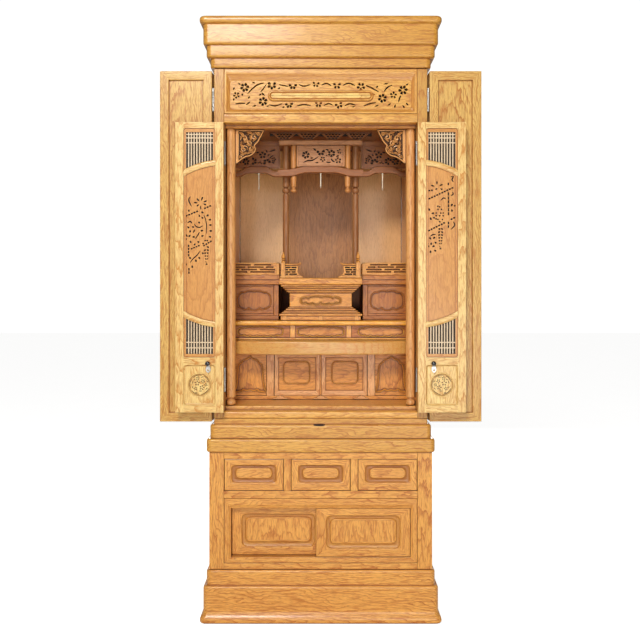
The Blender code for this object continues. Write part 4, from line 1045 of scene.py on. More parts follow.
def leaf(piece, x, z, angle, length, width, d, rise=2.2, bend=0.25, seed=1, mat=0, notch=0.16, n=9):
    """A carved leaf with a hollow midrib and crisped edges, standing out of the plane d towards the front. It has a flat back."""
    rows = []
    for i in range(n):
        t = i / (n - 1)
        along = length * t
        w = width * 0.5 * (math.sin(PI * t ** 0.8) ** 0.8) * (1.0 + notch * math.sin(5.5 * PI * t)) + 0.12
        sway = bend * length * math.sin(PI * t * 0.9) * 0.6
        lift = rise * (0.35 + 0.65 * math.sin(PI * min(1.0, t * 1.05)))
        row = []
        for k, (a, h) in enumerate(((-1.0, 0.15), (-0.75, 0.75), (-0.4, 1.0), (0.0, 0.55), (0.4, 1.0), (0.75, 0.75), (1.0, 0.15))):
            lx, lz = along, sway + a * w
            row.append((x + lx * math.cos(angle) - lz * math.sin(angle), d - lift * h, z + lx * math.sin(angle) + lz * math.cos(angle)))
        rows.append(row)
    m = 7
    v = [p for row in rows for p in row]
    back = [(p[0], d + 0.9, p[2]) for row in rows for p in (row[0], row[-1])]
    f = []
    for i in range(n - 1):
        for k in range(m - 1):
            f.append((i * m + k, i * m + k + 1, (i + 1) * m + k + 1, (i + 1) * m + k))
    b = len(v)
    for i in range(n - 1):
        f.append((i * m, (i + 1) * m, b + 2 * (i + 1), b + 2 * i))
        f.append((i * m + m - 1, b + 2 * i + 1, b + 2 * (i + 1) + 1, (i + 1) * m + m - 1))
        f.append((b + 2 * i, b + 2 * (i + 1), b + 2 * (i + 1) + 1, b + 2 * i + 1))
    f.append(tuple(range(m)) + (b + 1, b))
    e = (n - 1) * m
    f.append(tuple(range(e, e + m)) + (b + 2 * (n - 1) + 1, b + 2 * (n - 1)))
    base = piece.put(v + back, f, "z" if abs(math.sin(angle)) > 0.7 else "x", seed, True, mat, (x, d, z))
    piece.apart.update(range(base, len(piece.verts)))


def curl(piece, x, z, start, turns, r0, r1, d, thick=1.7, seed=1, mat=0, steps=22, hand=1, lift=1.5):
    """A scroll that winds inwards from radius r0 to r1, ending in a small boss."""
    path = []
    for i in range(steps):
        t = i / (steps - 1)
        a = start + hand * 2 * PI * turns * t
        r = r0 + (r1 - r0) * t ** 0.8
        path.append((x + r * math.cos(a), d - lift * t, z + r * math.sin(a)))
    piece_base = len(piece.verts)
    piece.tube(path, lambda t: thick * (1.0 - 0.35 * t) * (0.45 + 0.55 * min(1.0, 6 * t)), seed, "x", mat, 7, 0.8)
    bead(piece, x + r1 * math.cos(a) * 0.2, d - lift, z + r1 * math.sin(a) * 0.2, max(r1 * 0.95, 1.1), seed, mat)
    piece.apart.update(range(piece_base, len(piece.verts)))


def bead(piece, x, d, z, r, seed=1, mat=0, deep=0.8):
    rows = []
    for i in range(6):
        t = PI * 0.5 * i / 5
        rows.append([(x + r * math.cos(t) * math.cos(a), d - r * deep * math.sin(t), z + r * math.cos(t) * math.sin(a)) for a in [2 * PI * k / 10 for k in range(10)]])
    rows = [[(p[0], d + 1.0, p[2]) for p in rows[0]]] + rows[:-1]
    base = len(piece.verts)
    piece.loft(rows, "x", seed, True, mat, (True, True), (x, d, z))
    piece.apart.update(range(base, len(piece.verts)))


def carved_flower(piece, x, z, r, d, n=5, turn=0.2, rise=1.8, seed=1, mat=0):
    """A raised blossom of cupped petals round a boss."""
    for k in range(n):
        a = turn + 2 * PI * k / n
        leaf(piece, x + 0.12 * r * math.cos(a), z + 0.12 * r * math.sin(a), a, r * 0.92, r * 0.78, d, rise, 0.0, seed + k, mat, 0.0, 6)
    bead(piece, x, d - 0.6 * rise, z, r * 0.2, seed, mat)


# --- altar hall: columns and corner brackets ---------------------------------

for side, s in (("left", -1), ("right", 1)):
    P = Piece("round_column_" + side, [COLUMN], "case", "column_" + side)
    foot = [(8.6, 574.8), (10.4, 575.4), (12.3, 577.2), (13.3, 580.2), (13.4, 583.6), (12.8, 586.6), (11.2, 589.2), (9.0, 590.8), (7.7, 592.2), (7.5, 594.0), (8.2, 595.4), (10.4, 596.2), (12.4, 597.2), (13.0, 598.8)]
    P.lathe(foot + [(13.0, 620.0), (13.0, 900.0), (13.0, 1200.0), (13.0, 1335.0), (12.6, 1336.7)], s * 248.5, 49.5, 48, "z", 471 + s)
    P.build(0.0)

lobes = [(-235.1, 1243.0), (-232.0, 1243.0), (-220.0, 1252.0), (-207.0, 1259.5), (-196.0, 1262.0), (-187.0, 1268.0), (-181.5, 1273.0), (-178.0, 1283.0),
         (-181.0, 1293.0), (-172.0, 1302.0), (-166.0, 1313.0), (-160.0, 1325.0), (-155.0, 1336.7), (-235.1, 1336.7)]


def bracket(side, s):
    """Corner bracket: a flat strip beside the column, a rounded frame with pierced ground, and leaves and scrolls carved in three layers."""
    P = Piece("carved_bracket_" + side, [CARVED, SHADOW_OAK, DARK], "case", "bracket_" + side)
    rng = random.Random(23)

    def X(x):
        return x * -s  # the outline is drawn for the left one

    edge = [(X(x), z) for x, z in lobes]
    region = [(-224.5, 1332.5), (-224.5, 1256.5), (-213.0, 1262.5), (-200.5, 1267.0), (-191.0, 1272.0), (-185.8, 1277.5), (-183.6, 1284.0), (-187.0, 1293.5), (-177.0, 1304.0), (-171.0, 1315.0), (-164.5, 1327.0), (-161.5, 1332.5)]
    region = region[::-1]
    if area(region) < 0:
        region = region[::-1]
    F = Fret(region, 0.2, 1.5)
    spots = []
    for _ in range(700):
        x, z = rng.uniform(-224, -160), rng.uniform(1256, 1333)
        r = rng.uniform(2.0, 4.6)
        a = rng.uniform(0, PI)
        loop = [(x + r * 1.25 * math.cos(t) * math.cos(a) - r * 0.7 * math.sin(t) * math.sin(a), z + r * 1.25 * math.cos(t) * math.sin(a) + r * 0.7 * math.sin(t) * math.cos(a)) for t in [2 * PI * k / 8 for k in range(8)]]
        F.cut(loop)
    holes = [[(X(x), z) for x, z in h] for h in F.holes]
    # The pierced ground of the bracket takes the near-black oak as painted shadow.
    pierced(P, edge, holes, 49.7, 55.0, "z", 481, 1, 0.5)
    # Flat strip beside the column, and one below the lintel.
    strip = [(X(x), z) for x, z in ((-235.1, 1243.4), (-232.2, 1243.4), (-226.6, 1247.6), (-226.6, 1332.0), (-157.5, 1332.0), (-155.4, 1336.5), (-235.1, 1336.5))]
    P.prism(strip, 47.9, 49.6, "z", 487, 0, 0.5)
    # Raised rim along the column, the top and the scalloped edge.
    for path, r in (([(-229.5, 1246.5), (-229.5, 1290.0), (-229.0, 1331.0), (-226.0, 1334.4), (-190.0, 1334.6), (-160.0, 1334.4)], 1.9),
                    ([(-231.0, 1246.0), (-220.5, 1254.5), (-207.5, 1262.0), (-196.5, 1264.6), (-188.5, 1270.0), (-183.5, 1275.0), (-180.6, 1283.0), (-183.4, 1292.4), (-174.5, 1303.0), (-168.5, 1314.0), (-162.5, 1325.5), (-158.5, 1334.0)], 1.7)):
        P.tube([(X(x), 48.9, z) for x, z in spline(path, 5)], r, 482, "z", 0, 8, 1.1)
    # Main scrolls.
    for x, z, st, tn, r0, hand in ((-212.0, 1282.0, 0.4, 1.15, 11.5, 1), (-193.5, 1284.0, 2.4, 1.2, 9.0, -1), (-211.0, 1312.0, 3.6, 1.1, 11.0, -1), (-184.0, 1316.0, 1.0, 1.15, 10.0, 1),
                                   (-219.0, 1262.5, 0.2, 0.9, 5.6, 1), (-171.5, 1326.0, 3.4, 0.9, 6.0, 1), (-199.0, 1299.5, 5.2, 1.05, 8.0, 1)):
        curl(P, X(x), z, st if s < 0 else PI - st, tn, r0, 1.6, 48.6, 1.9, 483, 0, 20, hand if s < 0 else -hand, 2.2)
    # Leaves over and between the scrolls, pointing away from the corner.
    for x, z, a, l, w in ((-226.0, 1330.0, -0.9, 24.0, 9.0), (-222.0, 1297.0, -1.2, 20.0, 8.5), (-205.0, 1330.0, -0.5, 22.0, 8.5), (-196.0, 1322.0, -1.5, 19.0, 8.0), (-224.0, 1278.0, -0.9, 18.0, 7.5),
                          (-206.0, 1296.0, -0.5, 18.0, 8.0), (-200.0, 1275.0, 0.4, 17.0, 7.5), (-188.0, 1303.0, 0.6, 16.0, 7.0), (-183.0, 1330.0, -0.7, 18.0, 7.5), (-216.0, 1268.0, 0.1, 18.0, 7.0),
                          (-223.0, 1315.0, 0.3, 15.0, 6.5), (-194.0, 1309.0, -2.4, 14.0, 6.5), (-204.0, 1268.0, 0.35, 15.0, 6.0), (-226.5, 1256.0, 0.9, 13.0, 5.5), (-171.0, 1318.0, 1.1, 13.0, 6.0),
                          (-189.5, 1291.0, -1.2, 13.0, 6.5), (-212.0, 1322.0, -2.6, 12.0, 6.0), (-218.0, 1305.0, -2.0, 12.0, 6.0)):
        leaf(P, X(x), z, a if s < 0 else PI - a, l * 1.02, w * 0.80, 48.2 - rng.uniform(0.0, 1.0), 2.8, 0.22 if s < 0 else -0.22, 484, 0, 0.14, 9)
    for x, z, a, l, w in ((-220.0, 1322.0, -0.2, 11.0, 6.0), (-198.0, 1328.0, -2.2, 11.0, 6.0), (-176.0, 1329.0, -2.4, 12.0, 6.0), (-190.0, 1327.0, 0.1, 11.0, 5.6), (-222.5, 1290.0, -0.3, 10.0, 5.6),
                          (-206.0, 1283.0, -0.2, 10.0, 5.6), (-224.0, 1268.0, 0.2, 9.0, 5.0), (-199.0, 1290.0, 1.2, 11.0, 5.6), (-179.0, 1308.0, 1.5, 10.0, 5.4), (-214.0, 1298.0, 0.6, 10.0, 5.4)):
        leaf(P, X(x), z, a if s < 0 else PI - a, l * 0.9, w * 0.62, 49.0, 2.0, 0.18 if s < 0 else -0.18, 488, 0, 0.14, 8)
    carved_flower(P, X(-191.0), 1276.5, 6.6, 48.0, 5, 0.3, 2.0, 485)
    carved_flower(P, X(-206.5), 1306.5, 7.2, 48.0, 5, 0.9, 2.0, 486)
    P.build(0.0)


bracket("left", -1)
bracket("right", 1)


# --- canopy ----------------------------------------------------------------

def flower_field(F, spots, strokes, petals, scale=1.22):
    for x, z, r, n, turn in spots:
        F.blossom(x, z, r * scale, n, turn, 0.26, 0.72)
    for pts, w in strokes:
        F.stroke(pts, w * 1.8)
    for x, z, a, l, w in petals:
        F.petal(x, z, a, l * 1.2, w * 1.55)


P = Piece("canopy_lattice", [CANOPY, DARK], "case", "canopy_frieze")
teeth = [(148.0, 1345.0), (-148.0, 1345.0)]
for c in (-105.0, -35.0, 35.0, 105.0):
    teeth += [(c - 34.0, 1343.4), (c - 13.0, 1325.5), (c + 13.0, 1325.5), (c + 34.0, 1343.4)]
F = Fret(teeth[::-1], 1.0, 0.5)
for row, z in enumerate((1340.6, 1334.9, 1329.4)):
    for k in range(-9, 10):
        for c in (-105.0, -35.0, 35.0, 105.0):
            m = c + (k + 0.5 * (row % 2)) * 9.4
            if abs(m - c) < 34:
                F.cut([(m - 4.2, z), (m - 2.2, z - 2.4), (m + 2.2, z - 2.4), (m + 4.2, z), (m + 2.2, z + 2.4), (m - 2.2, z + 2.4)])
pierced(P, teeth, F.holes, 145.5, 153.0, "x", 501, 0, 0.15)
# Dark boards behind the holes, painted shadow.
P.box(-147.0, 147.0, 153.4, 154.6, 1336.0, 1345.0, "x", 504, 1)
for c in (-105.0, -35.0, 35.0, 105.0):
    P.prism([(c - 33.0, 1343.0), (c - 12.6, 1326.0), (c + 12.6, 1326.0), (c + 33.0, 1343.0)], 153.4, 154.6, "x", 504, 1)
for c in (-105.0, -35.0, 35.0, 105.0):
    P.tube([(c - 32.5, 145.0, 1342.8), (c - 12.5, 145.0, 1326.4), (c + 12.5, 145.0, 1326.4), (c + 32.5, 145.0, 1342.8)], 1.1, 502, "x", 0, 6)
P.box(-148.0, 148.0, 144.4, 146.0, 1343.4, 1345.0, "x", 503)
P.build(0.0)

P = Piece("canopy_tie", [TIE], "case", "canopy_beam")
P.box(-119.5, 119.5, 136.0, 164.0, 1309.5, 1322.0, "x", 506)
P.build(1.6, 3)

P = Piece("pierced_centre_transom", [TIE, DARK], "case", "centre_transom")
outer = [(-69.4, 1248.0), (69.4, 1248.0), (69.4, 1309.2), (-69.4, 1309.2)]
inner = [(-62.0, 1253.0), (62.0, 1253.0), (62.0, 1303.5), (-62.0, 1303.5)]
F = Fret(inner, 1.6, 0.9)
flower_field(F, ((-43.0, 1282.0, 9.4, 6, 0.3), (0.0, 1291.5, 10.0, 6, 0.1), (31.0, 1286.0, 9.2, 6, 0.5), (50.0, 1266.0, 7.6, 5, 0.4), (6.0, 1269.5, 6.4, 5, 0.9), (54.0, 1292.0, 6.0, 5, 0.2)),
             (([(-50.0, 1260.0), (-38.0, 1265.0), (-24.0, 1266.0), (-6.0, 1277.0)], 2.2), ([(-20.0, 1293.0), (-14.0, 1288.0), (-9.0, 1284.5)], 2.2), ([(30.0, 1272.0), (34.0, 1265.0), (41.0, 1261.5)], 2.2),
              ([(14.0, 1281.0), (20.0, 1279.0)], 2.0), ([(-30.0, 1272.0), (-21.0, 1273.0)], 2.0), ([(16.0, 1262.0), (23.0, 1259.5), (29.0, 1262.0)], 2.0)),
             ((-55.0, 1298.0, -0.9, 10.0, 3.6), (-41.0, 1300.0, -1.3, 9.0, 3.2), (-22.0, 1300.5, -0.6, 9.0, 3.6), (-27.0, 1291.0, 0.7, 9.0, 3.4), (-19.0, 1284.0, 0.3, 8.0, 3.2), (14.0, 1298.5, -0.4, 8.0, 3.2),
              (42.0, 1300.0, -0.4, 7.5, 3.0), (19.0, 1296.0, -1.2, 7.5, 3.0), (-4.0, 1262.0, 0.2, 8.0, 3.0), (44.0, 1276.0, 0.5, 8.0, 3.2), (-55.0, 1271.0, 0.4, 7.0, 3.0), (-16.0, 1259.0, 0.1, 8.0, 2.8)))
pierced(P, outer, F.holes, 147.4, 151.6, "x", 511, 0, 0.4)
# A dark board behind the holes, painted shadow.
P.box(-68.8, 68.8, 152.0, 153.4, 1248.6, 1308.6, "x", 513, 1)
uneven(P, (-69.4, 69.4, 1248.0, 1309.2), (-64.6, 64.6, 1251.2, 1305.4), [(0.0, 147.6, 0.0), (0.0, 146.5, 0.0), (0.2, 146.0, 0.0), (0.7, 146.0, 0.4), (0.9, 146.5, 0.6), (1.0, 147.6, 1.0)], 512, 147.6)
P.build(0.0)


def wave_beam(x0, x1, z_top_mid, z_top_end, z_bot_mid, z_bot_end, slant=6.0, n=24):
    def rise(t):
        u = min(1.0, max(0.0, (0.78 - abs(t)) / 0.46))
        return u * u * (3 - 2 * u)
    low, top = [], []
    for k in range(2 * n + 1):
        t = -1 + k / n
        u = (t + 1) / 2
        low.append((x0 + slant + (x1 - x0 - 2 * slant) * u, z_bot_end + (z_bot_mid - z_bot_end) * rise(t) + 0.4 * (1 - t * t)))
        top.append((x0 + (x1 - x0) * u, z_top_end + (z_top_mid - z_top_end) * rise(t) + 0.4 * (1 - t * t)))
    return low, top


def curved_tie(piece, low, top, d0, d1, seed, mat=0, round_=2.4):
    """A tie beam with rounded upper and lower front edges, swept along its own two outlines."""
    loops = []
    r = round_
    for (xa, za), (xb, zb) in zip(low, top):
        def mixed(t):
            return xa + (xb - xa) * t, za + (zb - za) * t
        h = zb - za
        pts = []
        for t, d in ((0.0, d1), (0.0, d0 + r), (0.25 * r / h, d0 + 0.42 * r), (0.6 * r / h, d0 + 0.12 * r), (1.05 * r / h, d0), (0.5, d0), (1 - 1.05 * r / h, d0),
                     (1 - 0.6 * r / h, d0 + 0.12 * r), (1 - 0.25 * r / h, d0 + 0.42 * r), (1.0, d0 + r), (1.0, d1)):
            x, z = mixed(t)
            pts.append((x, d, z))
        loops.append(pts)
    base = len(piece.verts)
    piece.loft(loops, "x", seed, True, mat, (True, True), None)
    piece.apart.update(range(base, len(piece.verts)))


P = Piece("curved_centre_beam", [CANOPY], "case", "centre_beam")
curved_tie(P, *wave_beam(-123.0, 123.0, 1247.0, 1239.0, 1229.0, 1218.5), 138.0, 162.0, 516)
ob = P.build(0.0)
for side, s in (("left", -1), ("right", 1)):
    P = Piece("hanging_post_%s_turned" % side, [HANG], "case", "hanging_post_" + side)
    P.lathe([(0.4, 1172.8), (2.6, 1173.0), (4.6, 1173.7), (6.6, 1175.0), (8.2, 1176.6), (9.0, 1178.7), (8.7, 1180.6), (7.2, 1182.4), (5.6, 1184.0), (4.6, 1185.6), (4.3, 1187.0), (4.8, 1188.6), (6.2, 1190.0), (7.6, 1191.2),
             (8.0, 1193.0), (8.0, 1230.0), (8.0, 1308.6), (7.6, 1309.2)], s * 77.8, 150.0, 32, "z", 521 + s)
    P.build(0.0)
    P = Piece("rear_post_%s_turned" % side, [REAR], "case", "rear_post_" + side)
    P.lathe([(9.4, 927.3), (9.4, 1169.8), (8.4, 1171.4), (6.9, 1172.6), (6.7, 1174.2), (8.4, 1175.8), (10.6, 1178.0), (11.4, 1180.8), (11.4, 1183.2), (10.8, 1185.8), (9.2, 1187.6), (7.2, 1188.8), (6.7, 1190.2), (7.4, 1191.6),
             (9.9, 1193.0), (10.0, 1195.0), (10.0, 1270.0), (10.0, 1344.4), (9.6, 1345.0)], s * 101.0, 178.0, 32, "z", 525 + s)
    P.build(0.0)

    def S(pts):
        return [(x, z) for x, z in pts] if s < 0 else [(-x, z) for x, z in pts]
    low, top = wave_beam(-256.0, -119.7, 1256.0, 1242.0, 1236.0, 1226.0, 0.0, 20)
    P = Piece("pierced_side_transom_" + side, [CANOPY, DARK], "case", "side_transom_" + side)
    board = [(-256.0, 1250.0), (-119.7, 1250.0), (-119.7, 1330.0), (-256.0, 1330.0)]
    inner = [(-251.0, 1258.0), (-124.0, 1258.0), (-124.0, 1313.0), (-251.0, 1313.0)]
    if s > 0:
        board, inner = mirrored(board), mirrored(inner)
    F = Fret(inner, 1.4, 0.9)

    def A(a):
        return a if s < 0 else PI - a
    # Blossoms sit low, leaves and stems above them.
    flower_field(F, [(S([(x, z)])[0][0], z, r, n, t) for x, z, r, n, t in ((-220.0, 1271.0, 9.0, 6, 0.2), (-199.0, 1272.0, 9.4, 6, 0.5), (-158.0, 1268.0, 9.4, 6, 0.3), (-179.0, 1264.5, 5.6, 5, 0.1), (-171.0, 1290.0, 9.0, 5, 0.4),
                                                                           (-240.0, 1264.5, 6.4, 5, 0.7), (-138.0, 1277.0, 6.0, 5, 0.1))],
                 [(S(p), w) for p, w in (([(-150.0, 1300.0), (-142.0, 1303.0), (-133.0, 1306.0)], 2.4), ([(-214.0, 1283.0), (-203.0, 1286.0), (-192.0, 1281.0)], 2.2), ([(-189.0, 1279.0), (-180.0, 1276.0), (-172.0, 1277.0)], 2.2),
                                         ([(-235.0, 1283.0), (-226.0, 1287.0)], 2.2), ([(-150.0, 1279.0), (-146.0, 1285.0), (-139.0, 1289.0)], 2.2), ([(-248.0, 1276.0), (-241.0, 1279.0)], 2.2))],
                 [(S([(x, z)])[0][0], z, A(a), l, w) for x, z, a, l, w in ((-203.0, 1303.0, -0.6, 11.0, 3.8), (-191.0, 1296.0, 0.3, 9.0, 3.4), (-216.0, 1296.0, -0.3, 9.0, 3.2), (-229.0, 1300.0, -0.5, 9.0, 3.2), (-184.0, 1306.0, -0.9, 8.0, 3.2),
                                                                           (-161.0, 1306.0, -1.2, 8.0, 3.0), (-145.0, 1269.0, -0.3, 8.0, 3.2), (-137.0, 1265.0, 0.4, 7.0, 3.0), (-187.0, 1268.0, -0.8, 6.5, 2.8), (-245.0, 1300.0, -0.4, 8.5, 3.2),
                                                                           (-156.0, 1286.0, 0.9, 7.0, 2.8), (-244.0, 1288.0, 0.7, 7.0, 3.0), (-130.0, 1292.0, 1.0, 7.5, 3.0))])
    pierced(P, board, F.holes, 204.0, 209.0, "x", 531, 0, 0.4)
    # A dark board behind the holes, painted shadow.
    P.box(*sorted((s * 255.6, s * 120.0)), 209.4, 211.0, 1250.4, 1329.6, "x", 534, 1)
    # A thin raised line round the pierced field.
    line = rrect(*sorted((s * 253.0, s * 123.5)), 1253.0, 1317.0, 5.0, 5)
    P.loft([[(x, 204.1, z) for x, z in inset(line, -0.2)], [(x, 203.0, z) for x, z in inset(line, 0.4)], [(x, 203.0, z) for x, z in inset(line, 1.2)], [(x, 204.1, z) for x, z in inset(line, 1.8)]], "x", 532, True, 0, (False, False))
    if s > 0:
        low, top = [(-x, z) for x, z in low][::-1], [(-x, z) for x, z in top][::-1]
    curved_tie(P, low, top, 201.0, 215.0, 533 + s, 0, 2.2)
    P.build(0.0)

# --- altar -----------------------------------------------------------------


def altar_loop(z, inn, cut=1.0):
    w, f, b = 119.0 + inn, 135.0 - inn, 330.0
    c = 2.0
    return [(-w, b, z), (-w, (b + f) / 2, z), (-w, f + c, z), (-w + c * 0.3, f + c * 0.3, z), (-w + c, f, z)] + [(-w + c + (2 * w - 2 * c) * k / 8, f, z) for k in range(1, 8)] + \
        [(w - c, f, z), (w - c * 0.3, f + c * 0.3, z), (w, f + c, z), (w, (b + f) / 2, z), (w, b, z)]


def altar_grain(c):
    x, d, z = c
    return ("x", 541 + int(z > 840) + int(z > 884)) if (119.0 - abs(x)) > (d - 135.0) * 0.9 - 12 else ("y", 545)


steps = [(805.3, 818.6, -4.0), (819.0, 824.2, 0.0), (824.4, 828.6, -6.0), (828.8, 833.2, -12.0), (833.4, 838.6, -18.5), (838.8, 842.6, -24.0), (842.8, 884.4, -29.0), (884.6, 887.6, -24.5),
         (887.8, 892.6, -20.5), (892.8, 897.8, -15.5), (898.0, 902.8, -10.0), (903.0, 907.8, -4.5)]
levels = [(805.3, -4.0)]
for z0, z1, o in steps:
    e = min(1.1, (z1 - z0) * 0.3)
    levels += [(z0, o - e), (z0 + 0.3 * e, o - 0.3 * e), (z0 + e, o), ((z0 + z1) / 2, o), (z1 - e, o), (z1 - 0.3 * e, o - 0.3 * e), (z1, o - e)]
levels += [(908.3, -2.6), (908.8, -1.4), (910.0, -0.4), (911.8, 0.0), (917.5, 0.0), (922.8, 0.0), (924.6, -0.3), (926.0, -1.2), (927.0, -2.8)]
P = Piece("altar_table", [INNER, PLAIN], "case", "altar")
loops = [altar_loop(z, o) for z, o in levels]
P.loft(loops, altar_grain, 541, True, 0, (False, True), (0.0, 0.0, 866.0), closed=False)
# The hollow back: rim, sides and ends of the hollow.
n = len(loops[0])
bx = [(lp[0][0], lp[0][2]) for lp in loops]
outline = [(x, z) for x, z in bx] + [(-x, z) for x, z in reversed(bx)]
hollow = [(-78.0, 815.0), (-78.0, 900.0), (78.0, 900.0), (78.0, 815.0)]
pts = [Vector(p) for p in outline] + [Vector(p) for p in hollow]
m = len(outline)
edges = [(i, (i + 1) % m) for i in range(m)] + [(m + i, m + (i + 1) % 4) for i in range(4)]
v2, _, tris, _, _, _ = geometry.delaunay_2d_cdt(pts, edges, [], 1, 1e-6)
P.put([(v[0], 330.0, v[1]) for v in v2], [tuple(t) for t in tris if not inside([sum(v2[i][k] for i in t) / 3 for k in (0, 1)], hollow)], "x", 546, False, 1)
P.put([(x, d, z) for d in (330.0, 178.0) for x, z in hollow], [(0, 1, 5, 4), (1, 2, 6, 5), (2, 3, 7, 6), (3, 0, 4, 7), (4, 5, 6, 7)], "x", 547, False, 1)
P.put(loops[0], [tuple(range(n))], "t", 548, False, 1)
P.build(0.0, sharp=40.0)


def cusped(cx, cz, w, h, cusps=(), n=72, flat=0.6):
    """A long oval panel outline: its ends are round, and its lower and upper edges dip inwards at the cusps (side, share of the width, depth)."""
    points = []
    for k in range(n):
        t = 2 * PI * k / n
        x = math.copysign(abs(math.cos(t)) ** 0.75, math.cos(t)) * w / 2
        z = math.copysign(abs(math.sin(t)) ** flat, math.sin(t)) * h / 2
        for side, share, deep, wide in cusps:
            if (z > 0) == (side > 0):
                u = abs(x / w - share) / wide
                if u < 1:
                    z -= math.copysign(deep * (1 - u) ** 1.6, z)
        points.append((cx + x, cz + z))
    return points


def incised(piece, loop, d, seed, mat=0, deep=1.0, wide=1.4):
    """A line cut round a loop on a flat face: a fine ridge, with a dark valley inside it."""
    rows = []
    for t, h in ((-wide * 1.5, 0.05), (-wide * 1.2, -1.0 * deep), (-wide * 0.8, -1.5 * deep), (-wide * 0.35, -1.3 * deep), (-wide * 0.12, -0.04), (wide * 0.12, -0.04), (wide * 0.35, -1.3 * deep), (wide * 0.8, -1.5 * deep), (wide * 1.2, -1.0 * deep), (wide * 1.5, 0.05)):
        rows.append([(x, d + h, z) for x, z in inset(loop, t)])
    base = len(piece.verts)
    piece.loft(rows, "x", seed, True, mat, (False, False), None)
    piece.loft([rows[-1], rows[0]], "x", seed, True, mat, (False, False), None)
    piece.apart.update(range(base, len(piece.verts)))


P = Piece("altar_cartouche", [INNER], "case")
wd = 164.0 - 0.2
panel = cusped(0.0, 862.6, 118.0, 27.0, ((-1, 0.0, 5.0, 0.07), (-1, -0.2, 3.4, 0.06), (-1, 0.2, 3.4, 0.06), (-1, -0.37, 3.0, 0.05), (-1, 0.37, 3.0, 0.05), (1, -0.30, 3.6, 0.07), (1, 0.30, 3.6, 0.07), (1, 0.0, 2.0, 0.06)), 120)
if area(panel) < 0:
    panel = panel[::-1]
incised(P, panel, wd, 551, 0, 1.4, 1.6)
incised(P, inset(panel, 4.6), wd, 552, 0, 0.9, 1.1)
# Small posts at the ends and the middle of the base, with recessed board lines between.
for x in (-103.0, 0.0, 103.0):
    w = 5.5
    P.box(x - w, x + w, 138.2, 139.2, 806.0, 818.4, "z", 553)
P.build(0.3, 1)

for side, s in (("left", -1), ("right", 1)):
    P = Piece("altar_railing_" + side, [INNER, SHADOW_OAK], "case", "altar_rail_" + side)

    def R(pts):
        pts = [(x, z) for x, z in pts]
        pts = pts if s < 0 else mirrored(pts)
        return pts
    body = [(-102.7, 933.4), (-102.7, 962.0), (-66.0, 962.0), (-65.0, 956.0), (-67.4, 946.0), (-63.0, 938.4), (-58.0, 934.6), (-56.0, 933.4)]
    body = body[::-1]
    if area(body) < 0:
        body = body[::-1]
    F = Fret(body, 0.8, 0.8)
    for z, spans in ((957.6, ((-100.5, -87.0), (-83.5, -70.0))), (951.2, ((-100.5, -93.5), (-90.0, -71.5))), (944.8, ((-100.5, -87.0), (-83.5, -72.5))), (938.4, ((-100.5, -93.5), (-90.0, -69.0)))):
        for a, b in spans:
            F.cut([(a, z - 2.1), (b, z - 2.1), (b + 0.8, z), (b, z + 2.1), (a, z + 2.1), (a - 0.8, z)])
    holes = F.holes if s < 0 else [mirrored(h) for h in F.holes]
    pierced(P, body if s < 0 else mirrored(body), holes, 142.4, 146.0, "x", 561, 0, 0.4)
    # A near-black board behind the slots, painted shadow.
    P.prism(inset(body if s < 0 else mirrored(body), 0.8), 146.2, 147.6, "x", 565, 1)
    a, b = sorted((s * 103.0, s * 50.5))
    # Base strip with a rounded end, and the upturned top rail.
    P.prism(R([(-103.0, 927.3), (-50.5, 927.3), (-50.5, 930.4), (-53.0, 932.4), (-57.0, 933.4), (-103.0, 933.4)]), 140.0, 150.0, "x", 562, 0, 0.8)
    top = spline([(-103.0, 966.4), (-90.0, 966.4), (-76.0, 966.2), (-66.0, 966.6), (-60.6, 968.6), (-56.4, 971.6)], 6)
    P.tube([(x if s < 0 else -x, 145.0, z) for x, z in top], lambda t: 2.6 if t < 0.85 else 2.6 - 8.0 * (t - 0.85), 563, "x", 0, 10, 1.5)
    tip = spline([(-103.0, 961.8), (-84.0, 961.8), (-70.0, 961.2), (-63.6, 962.4)], 5)
    P.tube([(x if s < 0 else -x, 145.0, z) for x, z in tip], 1.2, 564, "x", 0, 8, 1.6)
    # Newel: square shaft, neck and onion finial.
    cx = s * 107.5
    P.box(cx - 5.6, cx + 4.9, 140.0, 150.0, 927.3, 972.4, "z", 566)
    P.box(cx - 6.4, cx + 5.6, 139.4, 150.6, 927.3, 932.6, "x", 567)
    P.box(*sorted((s * 112.4, s * 116.8)), 140.6, 149.4, 927.3, 932.8, "x", 568)
    P.lathe([(4.6, 972.0), (5.9, 972.6), (6.2, 973.8), (5.6, 975.2), (4.4, 976.0), (3.2, 976.6), (3.0, 977.6), (3.6, 978.4), (5.2, 979.2), (5.7, 980.4), (5.0, 981.6), (3.4, 982.2), (3.0, 983.0), (4.2, 983.8), (5.4, 985.4), (5.7, 987.4), (5.3, 989.6),
             (4.2, 992.4), (3.2, 994.8), (2.4, 997.4), (1.4, 1000.6), (0.3, 1003.4)], cx, 145.0, 24, "z", 569)
    P.build(0.5, 2)

# --- side cabinets ---------------------------------------------------------

